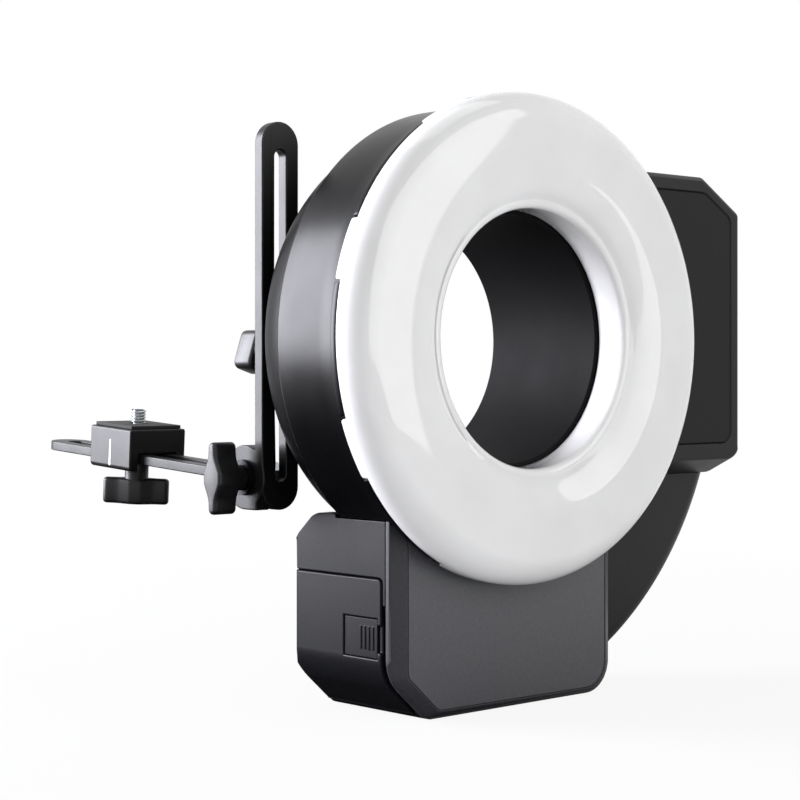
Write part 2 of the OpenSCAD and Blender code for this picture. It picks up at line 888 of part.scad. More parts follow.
// Hollow inside of the control box
module control_hollow(y0, y1) {
    difference() {
        along_y(y0, y1) polygon(control_outline(shell_wall, control_z + slope_drop));
        y_rod(box_in_r + shell_wall, y0 - eps, y1 + eps);
    }
}

module plate_shape(g) {
    along_y(-eps, plate_t) difference() {
        polygon(control_outline(plate_border + g, -control_low));
        circle(r = box_in_r + plate_border + g);
    }
}

module control_front() {
    color(BLACK) difference() {
        control_body(0, control_split);
        control_hollow(shell_wall, control_split + eps);
        plate_shape(0);
    }
}

module control_plate() {
    color("#26262a") intersection() {
        plate_shape(inlay_gap);
        along_y(0, plate_t) polygon(control_outline(0, control_z));
    }
}

module control_rear() {
    color(BLACK) difference() {
        union() {
            difference() {
                control_body(control_split, control_depth);
                control_hollow(control_split - eps, back_in);
            }
            for (p = screw_points) y_rod(screw_r + 2, control_split, back_in + eps / 2, p.x, p.y);
        }
        lcd_slab(lcd_w + 2 * inlay_gap, lcd_h + 2 * inlay_gap, control_depth - lcd_t, control_depth + eps);
        lcd_slab(lcd_w - 2 * lcd_bezel, lcd_h - 2 * lcd_bezel, back_in - eps, control_depth);
        for (i = [-1 : 1]) key_hole(control_mid + i * key_pitch);
        y_rod(shaft_r + run_gap, back_in - eps, control_depth + eps, control_mid, dial_z);
        y_rod(test_r + part_gap, back_in - eps, control_depth + eps, test_x, test_z);
        y_rod(lamp_r + run_gap, back_in - eps, control_depth + eps, test_x, ready_z);
        switch_slot();
        x_rod(jack_out_r + run_gap, control_right - 3 * shell_wall, control_right + eps, jack_y, jack_z);
        for (p = screw_points) {
            y_rod(screw_r + run_gap, control_depth - screw_l - eps, control_depth + eps, p.x, p.y);
            y_rod(screw_head_r + inlay_gap, control_depth - screw_head_h, control_depth + eps, p.x, p.y);
        }
    }
}

module lcd_slab(w, h, y0, y1) {
    box([control_mid - w / 2, y0, lcd_z - h / 2], [control_mid + w / 2, y1, lcd_z + h / 2]);
}

module lcd_window() {
    color("#7f8a86") lcd_slab(lcd_w, lcd_h, control_depth - lcd_t, control_depth);
}

module lcd_module() {
    color(GREEN) lcd_slab(lcd_w, lcd_h, board_y + board_t, back_in);
}

module main_board() {
    low = test_z - board_edge;
    high = lcd_z + lcd_h / 2 + lcd_t;
    color(GREEN) difference() {
        box(
            [control_left + board_left, board_y, low],
            [control_right - shell_wall - part_gap, board_y + board_t, high]);
        y_rod(box_in_r + shell_wall + part_gap, board_y - eps, board_y + board_t + eps);
    }
}

module encoder() {
    y0 = board_y + board_t;
    color(SILVER) box(
        [control_mid - encoder_w / 2, y0, dial_z - encoder_w / 2],
        [control_mid + encoder_w / 2, y0 + encoder_h, dial_z + encoder_w / 2]);
}

module control_dial() {
    bottom = control_depth + part_gap;
    color(BLACK) difference() {
        union() {
            y_rod(dial_r, bottom, bottom + dial_h, control_mid, dial_z);
            y_rod(shaft_r, board_y + board_t + encoder_h + part_gap, bottom + eps, control_mid, dial_z);
        }
        y_rod(set_r + part_gap, board_y, bottom + dial_h + eps, control_mid, dial_z);
        for (i = [0 : flute_count - 1])
            translate([control_mid, 0, dial_z]) at_angle(i * 360 / flute_count)
                y_rod(flute_r, bottom + flute_r, bottom + dial_h + eps, dial_r + flute_r / 3);
    }
}

module set_button() {
    low = board_y + board_t + encoder_h + part_gap + key_travel;
    color(DARK) y_rod(set_r, low, control_depth + part_gap + dial_h + key_proud / 2, control_mid, dial_z);
}

module key_hole(x) {
    g = part_gap;
    box(
        [x - key_w / 2 - g, back_in - eps, key_z - key_h / 2 - g],
        [x + key_w / 2 + g, control_depth + eps, key_z + key_h / 2 + g]);
}

// Rectangular key with the flange that keeps it behind the wall
module key(x) {
    f = key_flange;
    top = back_in - part_gap;
    color(DARK) {
        box(
            [x - key_w / 2, top - eps, key_z - key_h / 2],
            [x + key_w / 2, control_depth + key_proud, key_z + key_h / 2]);
        box(
            [x - key_w / 2 - f, board_y + board_t + part_gap + key_travel, key_z - key_h / 2 - f],
            [x + key_w / 2 + f, top, key_z + key_h / 2 + f]);
    }
}

module mode_button() key(control_mid - key_pitch);
module lamp_button() key(control_mid);
module sound_button() key(control_mid + key_pitch);

module test_button() {
    top = back_in - part_gap;
    color("#a8322c") {
        y_rod(test_r, top - eps, control_depth + key_proud, test_x, test_z);
        y_rod(test_r + key_flange, board_y + board_t + part_gap + key_travel, top, test_x, test_z);
    }
}

module ready_lamp() {
    color("#d8d2c0") y_rod(lamp_r, board_y + board_t, control_depth + 0.4, test_x, ready_z);
}

module switch_slot() {
    g = part_gap;
    box(
        [switch_x - switch_w / 2 - g, back_in - eps, test_z - switch_h / 2 - g],
        [switch_x + switch_w / 2 + g, control_depth + eps, test_z + switch_h / 2 + switch_travel + g]);
}

module power_switch() {
    top = back_in - part_gap;
    color(DARK) {
        box(
            [switch_x - switch_w / 2, top - eps, test_z - switch_h / 2],
            [switch_x + switch_w / 2, control_depth + key_proud, test_z + switch_h / 2]);
        box(
            [switch_x - switch_w / 2 - 1, board_y + board_t + part_gap, test_z - switch_h / 2 - 1],
            [switch_x + switch_w / 2 + 1, top, test_z + switch_h / 2 + 1]);
    }
}

module sync_jack() {
    x1 = control_right + jack_proud;
    color(SILVER) difference() {
        x_rod(jack_out_r, x1 - jack_l, x1, jack_y, jack_z);
        x_rod(jack_r, x1 - jack_l - eps, x1 + eps, jack_y, jack_z);
    }
}

// Case screw with its flat head at the given depth and a cross recess
module case_screw(y) {
    recess_l = screw_head_r * 0.6;
    recess_w = screw_head_r * 0.1;
    color(SILVER) difference() {
        union() {
            y_rod(screw_r, y - screw_l, y - screw_head_h / 2);
            y_rod(screw_head_r, y - screw_head_h, y);
        }
        box([-recess_l, y - screw_head_h / 2, -recess_w], [recess_l, y + eps, recess_w]);
        box([-recess_w, y - screw_head_h / 2, -recess_l], [recess_w, y + eps, recess_l]);
    }
}

module case_screws() {
    for (p = screw_points) translate([p.x, 0, p.y]) case_screw(control_depth);
}

// Curved arm between the control box and the base, concentric with the ring
module arm_shell() {
    y1 = arm_set + arm_d;
    profile = rounded([
        [bore_r, arm_set, 0],
        [arm_r, arm_set, arm_round],
        [arm_r, y1, arm_round],
        [bore_r, y1, 0]
    ]);
    color(BLACK) difference() {
        intersection() {
            about_y() polygon(profile);
            box([base_w / 2, 0, -2 * arm_r], [2 * arm_r, 2 * y1, control_z]);
        }
        head_room(part_gap);
    }
}

// Flat strip with full-round ends along Z, from z0 to z1
module strip_outline(w, z0, z1) {
    translate([-w / 2, z0 + w / 2]) square([w, z1 - z0 - w]);
    for (z = [z0 + w / 2, z1 - w / 2]) translate([0, z]) circle(d = w);
}

module mount_bar() {
    slot_low = -bar_low + slot_bridge;
    slot_high = bar_top - slot_bridge;
    color(BLACK) difference() {
        union() {
            translate([-bracket_x, 0, 0]) along_y(bar_y, bar_back) strip_outline(bar_w, -bar_low, bar_top);
            x_rod(ear_r, ear_x, ear_x + ear_t, pivot_y, pivot_z);
            box([ear_x, bar_back - eps, pivot_z - ear_r], [ear_x + ear_t, pivot_y, pivot_z]);
            box([ear_x, bar_back - eps, pivot_z], [ear_x + ear_t, pivot_y, pivot_z + ear_r - ear_dip]);
        }
        translate([-bracket_x, 0, 0])
            along_y(bar_y - eps, bar_back + tongue_r / 2) strip_outline(slot_w, slot_low, slot_high);
        x_rod(m6_r + run_gap, ear_x - eps, ear_x + ear_t + eps, pivot_y, pivot_z);
    }
}

// Frame of the rail: origin on the pivot, Y along the rail
module rail_frame() {
    translate([-bracket_x, pivot_y, pivot_z]) rotate([rail_tilt, 0, 0]) children();
}

module rail() {
    x0 = tongue_x + bracket_x;
    half = bar_w / 2;
    color(BLACK) rail_frame() difference() {
        union() {
            translate([0, 0, -rail_t / 2]) linear_extrude(rail_t) {
                translate([-half, rail_start]) square([bar_w, rail_len - rail_start - half]);
                translate([0, rail_len - half]) circle(r = half);
            }
            x_rod(tongue_r, x0, x0 + tongue_t);
            box([x0, 0, -tongue_r], [x0 + tongue_t, rail_start, tongue_r]);
            along_x(x0, x0 + tongue_t) polygon([
                [rail_start - eps, -tongue_r],
                [rail_start + 2 * tongue_r, -rail_t / 4],
                [rail_start + 2 * tongue_r, rail_t / 4],
                [rail_start - eps, tongue_r]
            ]);
        }
        translate([0, 0, -rail_t]) linear_extrude(2 * rail_t) {
            translate([-rail_slot_w / 2, rail_slot_start + rail_slot_w / 2])
                square([rail_slot_w, rail_slot_end - rail_slot_start - rail_slot_w]);
            for (y = [rail_slot_start + rail_slot_w / 2, rail_slot_end - rail_slot_w / 2])
                translate([0, y]) circle(d = rail_slot_w);
        }
        x_rod(m6_r + run_gap, x0 - eps, x0 + tongue_t + eps);
    }
}

module pivot_nut() {
    x0 = nut_x + bracket_x;
    color(SILVER) rail_frame() difference() {
        translate([x0, 0, 0]) rotate([0, 90, 0]) cylinder(r = nut_r, h = nut_h, $fn = 6);
        x_rod(m6_r + run_gap, x0 - eps, x0 + nut_h + eps);
    }
}

// One long side of a wing as [x, y, radius]: tip, hollow flank, crown, hollow flank and tip
function wing_flank(span, side) = [
    [-side * span / 2, -side * wing_tip / 2, wing_tip * 0.49],
    [-side * span * 0.29, -side * wing_tip * 0.56, span * 0.3],
    [-side * span * 0.08, -side * wing_mid / 2, span * 0.12],
    [side * span * 0.08, -side * wing_mid / 2, span * 0.12],
    [side * span * 0.29, -side * wing_tip * 0.56, span * 0.3],
    [side * span / 2, -side * wing_tip / 2, wing_tip * 0.49]
];

// Wing knob along +Z: neck from 0, wings above it and a screw shank below
module wing_knob(span, neck, shank_r, shank_l) {
    color(BLACK) {
        cylinder(r = neck_r, h = neck + eps);
        translate([0, 0, neck]) linear_extrude(wing_h)
            polygon(rounded(concat(wing_flank(span, 1), wing_flank(span, -1))));
    }
    color(SILVER) translate([0, 0, -shank_l]) cylinder(r = shank_r, h = shank_l + eps);
}

module pivot_washer() {
    color(SILVER) difference() {
        x_rod(washer_r, ear_x - part_gap - washer_t, ear_x - part_gap, pivot_y, pivot_z);
        x_rod(m6_r + run_gap, ear_x - bar_w, ear_x + eps, pivot_y, pivot_z);
    }
}

module pivot_knob() {
    seat = ear_x - part_gap - washer_t;
    shank = nut_x + nut_h - seat;
    translate([seat, pivot_y, pivot_z]) rotate([0, -90, 0]) wing_knob(wing_span, neck_h, m6_r, shank);
}

module clamp_washer() {
    color(SILVER) difference() {
        y_rod(washer_r, bar_back + part_gap, bar_back + part_gap + washer_t, -bracket_x, clamp_z);
        y_rod(m5_r + run_gap, bar_back, bar_back + bar_w, -bracket_x, clamp_z);
    }
}

// Oblong thumb knob with a turned neck
module clamp_knob() {
    seat = bar_back + part_gap + washer_t;
    shank = seat - head_depth + insert_l - eps;
    corner = clamp_w / 4;
    translate([-bracket_x, seat, clamp_z]) rotate([-90, 0, 0]) rotate([0, 0, clamp_turn]) {
        color(BLACK) {
            cylinder(r = neck_r, h = neck_h + eps);
            translate([0, 0, neck_h]) linear_extrude(wing_h) polygon(rounded([
                [-clamp_l / 2, -clamp_w / 2, corner],
                [clamp_l / 2, -clamp_w / 2, corner],
                [clamp_l / 2, clamp_w / 2, corner],
                [-clamp_l / 2, clamp_w / 2, corner]
            ]));
        }
        color(SILVER) translate([0, 0, -shank]) cylinder(r = m5_r, h = shank + eps);
    }
}

// Block that straddles the rail
module slider_block() {
    half = block_w / 2;
    groove = bar_w / 2 + part_gap;
    roof = rail_t / 2 + part_gap;
    color(BLACK) rail_frame() translate([0, block_at - block_l / 2, 0]) difference() {
        along_y(0, block_l) polygon(rounded([
            [-half, -block_down, 2],
            [-groove, -block_down, 0],
            [-groove, roof, 0],
            [groove, roof, 0],
            [groove, -block_down, 0],
            [half, -block_down, 2],
            [half, block_up, 1],
            [-half, block_up, 1]
        ]));
        translate([0, block_l / 2, 0]) cylinder(r = quarter_root_r + run_gap, h = 2 * block_up);
    }
}

module block_pad() {
    margin = 1.5;
    color("#2b2b2b") rail_frame() translate([0, block_at, block_up]) difference() {
        translate([-block_w / 2 + margin, -block_l / 2 + margin, 0])
            cube([block_w - 2 * margin, block_l - 2 * margin, pad_t]);
        translate([0, 0, -eps]) cylinder(r = quarter_r + part_gap, h = pad_t + 2 * eps);
    }
}

// Wing knob of the captive tripod screw, whose thread stands above the pad
module tripod_knob() {
    seat = rail_t / 2 + part_gap;
    thread_low = block_up + pad_t + part_gap;
    neck = block_down - seat + tripod_neck;
    rail_frame() translate([0, block_at, 0]) {
        translate([0, 0, -seat]) rotate([180, 0, tripod_turn])
            wing_knob(wing_span, neck, quarter_root_r, seat + thread_low + eps);
        color(SILVER) translate([0, 0, thread_low]) cylinder(r = quarter_r, h = screw_free);
    }
}

diffuser();
ring_housing();
rear_hub();
hub_screws();
inner_tube();
clamp_insert();
reflector();
flash_tube();
tube_electrodes();
tube_clips();
modelling_lamps();
trigger_coil();
base_shell();
base_cover();
base_panel();
battery_pack();
battery_contacts();
capacitors();
battery_door();
door_latch();
control_front();
control_plate();
control_rear();
lcd_window();
lcd_module();
main_board();
encoder();
control_dial();
set_button();
mode_button();
lamp_button();
sound_button();
test_button();
ready_lamp();
power_switch();
sync_jack();
case_screws();
arm_shell();
mount_bar();
clamp_washer();
clamp_knob();
rail();
pivot_nut();
pivot_washer();
pivot_knob();
slider_block();
block_pad();
tripod_knob();
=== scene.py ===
import math

import bmesh
import bpy
from mathutils import Matrix, Vector


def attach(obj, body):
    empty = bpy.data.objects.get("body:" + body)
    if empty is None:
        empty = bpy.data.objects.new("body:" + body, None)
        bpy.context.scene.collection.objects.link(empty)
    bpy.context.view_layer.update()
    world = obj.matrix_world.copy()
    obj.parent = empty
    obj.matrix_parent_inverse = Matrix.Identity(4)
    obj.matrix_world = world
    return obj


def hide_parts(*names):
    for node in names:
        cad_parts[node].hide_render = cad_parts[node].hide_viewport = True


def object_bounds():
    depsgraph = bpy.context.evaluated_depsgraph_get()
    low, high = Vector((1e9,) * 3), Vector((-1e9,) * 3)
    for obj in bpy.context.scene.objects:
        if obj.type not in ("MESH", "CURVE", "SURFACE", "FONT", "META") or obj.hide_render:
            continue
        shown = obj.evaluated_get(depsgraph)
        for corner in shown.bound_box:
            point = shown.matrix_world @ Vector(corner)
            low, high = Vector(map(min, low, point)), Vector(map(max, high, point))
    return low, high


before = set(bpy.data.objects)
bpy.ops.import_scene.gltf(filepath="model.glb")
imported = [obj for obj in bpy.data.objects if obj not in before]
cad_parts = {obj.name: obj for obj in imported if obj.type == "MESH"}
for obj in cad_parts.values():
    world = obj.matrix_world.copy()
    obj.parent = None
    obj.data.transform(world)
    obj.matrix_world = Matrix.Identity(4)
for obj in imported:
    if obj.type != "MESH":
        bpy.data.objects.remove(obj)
cad_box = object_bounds()

# Studio: a pale floor under the base, a white surround and three soft boxes, of which the strongest
# stands behind the left shoulder of the ring and grazes its side, as in the photograph.
# The viewpoint is level with the ring axis, 42 degrees to its left.
mm = 0.001
scene = bpy.context.scene
scene.view_settings.view_transform = "Standard"


def linear(code):
    """Linear colour of an sRGB hex value."""
    parts = [int(code[i:i + 2], 16) / 255 for i in (1, 3, 5)]
    return [p / 12.92 if p <= 0.04045 else ((p + 0.055) / 1.055) ** 2.4 for p in parts] + [1]


def add_node(tree, kind, settings=None, links=None):
    """Adds a node, sets its sockets or properties by name and links its inputs to other outputs."""
    made = tree.nodes.new(kind)
    for name, value in (settings or {}).items():
        if hasattr(made, name):
            setattr(made, name, value)
        else:
            made.inputs[name].default_value = value
    for name, (source, output) in (links or {}).items():
        tree.links.new(source.outputs[output], made.inputs[name])
    return made


def bounced_rays(tree, path):
    """One for the rays that a glossy or a clear surface has sent on, else zero."""
    return add_node(
        tree, "ShaderNodeMath", {"operation": "MAXIMUM"},
        {0: (path, "Is Glossy Ray"), 1: (path, "Is Transmission Ray")})


surround = bpy.data.worlds.new("surround")
scene.world = surround
surround.use_nodes = True
tree = surround.node_tree
tree.nodes.clear()
fill_light = 0.35
dim = add_node(tree, "ShaderNodeBackground", {"Color": linear("#f4f6f8"), "Strength": fill_light})
white = add_node(tree, "ShaderNodeBackground", {"Color": linear("#ffffff"), "Strength": 1.0})
path = add_node(tree, "ShaderNodeLightPath")
seen = add_node(
    tree, "ShaderNodeMath", {"operation": "MAXIMUM"},
    {0: (path, "Is Camera Ray"), 1: (bounced_rays(tree, path), 0)})
mixed = add_node(
    tree, "ShaderNodeMixShader", links={"Fac": (seen, 0), 1: (dim, 0), 2: (white, 0)})
add_node(tree, "ShaderNodeOutputWorld", links={"Surface": (mixed, 0)})

# White paper: seen directly, it keeps a soft shadow near the object and goes to white further out. In
# the gloss of the plastics it carries a painted shadow: its glow is dark close behind the left side and
# white beyond.
floor_size = 12
bpy.ops.object.select_all(action="DESELECT")
bpy.ops.mesh.primitive_plane_add(size=floor_size, location=(0, 0, cad_box[0].z))
floor = bpy.context.object
floor.name = "floor"
paper = bpy.data.materials.new("white_paper_sweep")
paper.use_nodes = True
tree = paper.node_tree
tree.nodes.clear()
matt = add_node(tree, "ShaderNodeBsdfDiffuse", {"Color": linear("#d4d4d4")})
glow = add_node(tree, "ShaderNodeEmission", {"Color": linear("#ffffff"), "Strength": 1.0})
place = add_node(tree, "ShaderNodeTexCoord")
path = add_node(tree, "ShaderNodeLightPath")
shadow_from, shadow_to, shadow_glow = 0.2, 0.75, 0.9
away = add_node(tree, "ShaderNodeVectorMath", {"operation": "LENGTH"}, {0: (place, "Object")})
near = add_node(
    tree, "ShaderNodeMapRange",
    {"From Min": shadow_from, "From Max": shadow_to, "To Min": shadow_glow, "To Max": 1.0},
    {"Value": (away, "Value")})
open_floor = add_node(
    tree, "ShaderNodeMath", {"operation": "MULTIPLY"}, {0: (path, "Is Camera Ray"), 1: (near, "Result")})
lit_floor = add_node(
    tree, "ShaderNodeMixShader", links={"Fac": (open_floor, 0), 1: (matt, 0), 2: (glow, 0)})
# Painted shadow for reflections only: the glow that glossy and clear rays see is black within a spot
# behind the left side of the object and rises to white half a metre from it.
painted_shade_spot, painted_shade_from, painted_shade_to = (-0.1, 0.15, 0), 0.15, 0.5
behind = add_node(tree, "ShaderNodeVectorMath", {"operation": "DISTANCE"}, {0: (place, "Object")})
behind.inputs[1].default_value = painted_shade_spot
under = add_node(
    tree, "ShaderNodeMapRange",
    {"From Min": painted_shade_from, "From Max": painted_shade_to, "To Min": 0.0, "To Max": 1.0},
    {"Value": (behind, "Value")})
mirrored = add_node(
    tree, "ShaderNodeEmission", {"Color": linear("#ffffff")}, {"Strength": (under, "Result")})
mixed = add_node(
    tree, "ShaderNodeMixShader",
    links={"Fac": (bounced_rays(tree, path), 0), 1: (lit_floor, 0), 2: (mirrored, 0)})
add_node(tree, "ShaderNodeOutputMaterial", links={"Surface": (mixed, 0)})
floor.data.materials.append(paper)


def soft_box(name, place, aim, size, watts, colour="#ffffff"):
    """Rectangular soft box that faces a point of the object."""
    turn = (Vector(aim) - Vector(place)).to_track_quat("-Z", "Y").to_euler()
    bpy.ops.object.light_add(type="AREA", location=place, rotation=turn)
    lamp = bpy.context.object
    lamp.name = name
    lamp.data.shape = "RECTANGLE"
    lamp.data.size, lamp.data.size_y = size
    lamp.data.energy = watts
    lamp.data.color = linear(colour)[:3]


soft_box(
    "soft_box_left", place=(-0.8, 1.02, 0.36), aim=(-0.06, 0.02, 0.3), size=(0.6, 0.96), watts=46,
    colour="#f5f6ff")
soft_box(
    "soft_box_front", place=(0.33, -1.46, 0.56), aim=(0, 0, 0.12), size=(1.9, 1.4), watts=13.5)
soft_box("soft_box_top", place=(0.3, 0.1, 1.7), aim=(0.05, 0.02, 0), size=(1.2, 1.0), watts=4)

view_from, view_turn = (-0.5403, -0.5353, -0.0129), math.radians(42)
sensor_mm, focal_mm, view_shift = 36, 87.75, -0.0349
bpy.ops.object.camera_add(location=view_from, rotation=(math.pi / 2, 0, -view_turn))
viewpoint = bpy.context.object
viewpoint.name = "viewpoint"
viewpoint.data.sensor_width = sensor_mm
viewpoint.data.lens = focal_mm
viewpoint.data.shift_y = view_shift
viewpoint.data.clip_start = 0.01
scene.camera = viewpoint

# Diffuser: one injection moulding of opal acrylic, a ring with a rounded rim and a dished band.
# Eight teeth on its skirt snap into notches of the housing, so that it pulls off to the front.
same_point, touch = 2e-6, 0.05 * mm


def draw_profile(name, points):
    """Draws an open or closed line through points, one extruded vertex after another."""
    bpy.ops.object.select_all(action="DESELECT")
    bpy.ops.mesh.primitive_plane_add(size=2 * mm, location=(0, 0, 0))
    drawn = bpy.context.object
    drawn.name = name
    bpy.ops.object.mode_set(mode="EDIT")
    bpy.ops.mesh.select_mode(type="VERT")
    bpy.ops.mesh.merge(type="CENTER")
    bpy.ops.transform.translate(value=points[0])
    for start, end in zip(points, points[1:]):
        bpy.ops.mesh.extrude_vertices_move(
            TRANSFORM_OT_translate={"value": Vector(end) - Vector(start)})
    bpy.ops.mesh.select_all(action="SELECT")
    return drawn


def settle_mesh():
    """Closes seams and poles and turns all faces outwards, in edit mode."""
    bpy.ops.mesh.select_all(action="SELECT")
    bpy.ops.mesh.remove_doubles(threshold=same_point)
    bpy.ops.mesh.normals_make_consistent(inside=False)


def turned(name, profile, steps, start=0.0):
    """Spins a closed profile of (radius, y) in mm about the Y axis, from a start angle."""
    line = [
        (r * math.cos(start) * mm, y * mm, r * math.sin(start) * mm)
        for r, y in [*profile, profile[0]]
    ]
    spun = draw_profile(name, line)
    bpy.ops.mesh.spin(steps=steps, angle=2 * math.pi, center=(0, 0, 0), axis=(0, 1, 0))
    settle_mesh()
    return spun


def arc(cx, cy, radius, first, last, count):
    """Points of an arc, angles in degrees."""
    turns = [math.radians(first + (last - first) * i / count) for i in range(count + 1)]
    return [(cx + radius * math.cos(a), cy + radius * math.sin(a)) for a in turns]


def pick(kind, test):
    """Selects, in edit mode, the faces, edges or vertices that pass a test."""
    bpy.ops.mesh.select_mode(type=kind)
    bpy.ops.mesh.select_all(action="DESELECT")
    drawn = bpy.context.edit_object.data
    grid = bmesh.from_edit_mesh(drawn)
    parts = {"FACE": grid.faces, "EDGE": grid.edges, "VERT": grid.verts}[kind]
    for part in parts:
        if test(part):
            part.select_set(True)
    grid.select_flush_mode()
    bmesh.update_edit_mesh(drawn)


def apply_modifier(piece, kind, **settings):
    """Adds a modifier to the piece and applies it."""
    bpy.context.view_layer.objects.active = piece
    modifier = piece.modifiers.new(kind.lower(), kind)
    for name, value in settings.items():
        setattr(modifier, name, value)
    bpy.ops.object.modifier_apply(modifier=modifier.name)


def bevel_sharp(piece, width, segments, angle):
    """Bevels every edge that is sharper than the angle, in mm and degrees."""
    apply_modifier(
        piece, "BEVEL", width=width * mm, segments=segments, limit_method="ANGLE",
        angle_limit=math.radians(angle), use_clamp_overlap=False)


def dress(piece, material, slot, body, *nodes):
    """Gives a finished and shaded piece its material and fits it to the CAD frame."""
    piece.data.materials.clear()
    piece.data.materials.append(material)
    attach(piece, body)
    if nodes:
        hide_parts(*nodes)


def hand_over(piece, material, slot, body, *nodes, smooth=32):
    """Puts the place of a finished piece into its mesh, shades it and dresses it."""
    if bpy.context.mode != "OBJECT":
        bpy.ops.object.mode_set(mode="OBJECT")
    bpy.ops.object.select_all(action="DESELECT")
    piece.select_set(True)
    bpy.context.view_layer.objects.active = piece
    bpy.ops.object.transform_apply(location=True, rotation=True, scale=True)
    bpy.ops.object.shade_smooth_by_angle(angle=math.radians(smooth))
    dress(piece, material, slot, body, *nodes)


def start_material(name, colour, roughness, **sockets):
    """New material with a Principled shader whose plain values are set on its own sockets."""
    made = bpy.data.materials.new(name)
    made.use_nodes = True
    shader = made.node_tree.nodes["Principled BSDF"]
    shader.inputs["Base Color"].default_value = linear(colour)
    shader.inputs["Roughness"].default_value = roughness
    for socket, value in sockets.items():
        shader.inputs[socket.replace("_", " ")].default_value = value
    return made, made.node_tree, shader


def noise(tree, size_mm, detail, roughness=0.5):
    """Noise pattern of a real size in mm, in Object coordinates."""
    place = add_node(tree, "ShaderNodeTexCoord")
    made = add_node(
        tree, "ShaderNodeTexNoise",
        {"Scale": 1 / (size_mm * mm), "Detail": detail, "Roughness": roughness},
        {"Vector": (place, "Object")})
    return made, "Fac"


def tint_by(pattern, tree, shader, dark, light):
    """Blends two near tones by a pattern; each is a place on the ramp and an sRGB colour."""
    ramp = add_node(tree, "ShaderNodeValToRGB", links={"Fac": pattern})
    for stop, (position, colour) in zip(ramp.color_ramp.elements, (dark, light)):
        stop.position = position
        stop.color = linear(colour)
    tree.links.new(ramp.outputs["Color"], shader.inputs["Base Color"])


def roughen_by(pattern, tree, shader, low, high):
    """Varies the roughness by a pattern."""
    spread = add_node(tree, "ShaderNodeMapRange", {"To Min": low, "To Max": high}, {"Value": pattern})
    tree.links.new(spread.outputs["Result"], shader.inputs["Roughness"])


def emboss_by(pattern, tree, shader, strength, depth_mm):
    """Raises and sinks the surface a little by a pattern."""
    bump = add_node(
        tree, "ShaderNodeBump", {"Strength": strength, "Distance": depth_mm * mm}, {"Height": pattern})
    tree.links.new(bump.outputs["Normal"], shader.inputs["Normal"])


# Opal acrylic, moulded and polished: milky, with a clear gloss and a faint unevenness of the cast.
opal, tree, shader = start_material(
    "opal_acrylic", "#f1f0ee", 0.05, IOR=1.49, Subsurface_Weight=0.35, Subsurface_Scale=0.004,
    Coat_Weight=0.7, Coat_Roughness=0.03)
shader.inputs["Subsurface Radius"].default_value = (1.0, 0.95, 0.9)
flow = noise(tree, size_mm=26, detail=2.0)
tint_by(flow, tree, shader, dark=(0.3, "#eeedeb"), light=(0.7, "#f4f3f2"))
roughen_by(flow, tree, shader, low=0.03, high=0.06)
emboss_by(flow, tree, shader, strength=0.03, depth_mm=0.1)

ring_r, hole_r, wall = 95, 50, 2.4
front_y, skirt_y, tooth_l = -19, -6.6, 2.9
rim_round, crest_r, nose_r, nose_set = 11, 67, 2.6, 4.5
crest_flat, foot_y, foot_break = 9, -0.3, 0.5
teeth, tooth_steps, pitch_steps = 8, 20, 63
tooth_round, rim_break = 1.05, 0.3
ring_steps = teeth * pitch_steps
step = 2 * math.pi / ring_steps
half_tooth = tooth_steps / 2 * step
tooth_mid = math.radians(25.5)
first_edge = tooth_mid - half_tooth
nose_y = front_y + nose_set + nose_r
dish = ((0.4, 0.06), (2.5, 0.36), (5, 0.8), (7.6, 1.32), (10, 2.15), (12, 3.3))
diffuser_line = [
    (ring_r, skirt_y),
    *arc(ring_r - rim_round, front_y + rim_round, rim_round, 0, -90, 16),
    (crest_r + crest_flat, front_y), (crest_r + 0.4, front_y + 0.02),
    *[(crest_r - inward, front_y + depth) for inward, depth in dish],
    *arc(hole_r + nose_r, nose_y, nose_r, -72, -180, 9),
    (hole_r, foot_y - foot_break), (hole_r + 0.4, foot_y), (hole_r + wall, foot_y),
    (hole_r + wall, nose_y),
    (crest_r - 10, front_y + 2.2 + wall), (crest_r, front_y + wall),
    *arc(ring_r - rim_round, front_y + rim_round, rim_round - wall, -90, 0, 8),
    (ring_r - wall, skirt_y),
]
diffuser = turned("opal_diffuser", diffuser_line, ring_steps, first_edge)


def in_sector(point, mid, half):
    """True where a point lies in one of the tooth sectors round the ring."""
    turn = (math.atan2(point.z, point.x) - mid) % (2 * math.pi / teeth)
    return min(turn, 2 * math.pi / teeth - turn) < half


def on_ring_edge(face, y, low, high):
    """True for a face square to the ring axis at y, between two radii, in mm."""
    middle = face.calc_center_median()
    across = math.hypot(middle.x, middle.z)
    return abs(middle.y - y * mm) < touch and low * mm < across < high * mm


pick("FACE", lambda f: on_ring_edge(f, skirt_y, ring_r - wall, ring_r)
     and in_sector(f.calc_center_median(), tooth_mid, half_tooth))
bpy.ops.mesh.extrude_region_move(TRANSFORM_OT_translate={"value": (0, tooth_l * mm, 0)})
settle_mesh()


def at_tooth_corner(edge):
    """True for the radial edges at the two free corners of a tooth."""
    a, b = (v.co for v in edge.verts)
    at_end = abs(a.y - (skirt_y + tooth_l) * mm) < touch and abs(b.y - a.y) < touch
    radial = abs(math.hypot(a.x, a.z) - math.hypot(b.x, b.z)) > mm
    return at_end and radial and edge.calc_face_angle(0) > 1


pick("EDGE", at_tooth_corner)
bpy.ops.mesh.bevel(offset=tooth_round * mm, segments=4, clamp_overlap=False)
bpy.ops.object.mode_set(mode="OBJECT")
bevel_sharp(diffuser, rim_break, segments=2, angle=50)
hand_over(diffuser, opal, "opal", "diffuser", "diffuser", smooth=40)

# Ring housing: a deep tray moulded in black ABS that carries the reflector and the flash tube.
# Its front edge has a notch for each tooth of the diffuser, and its rear edge is rounded.


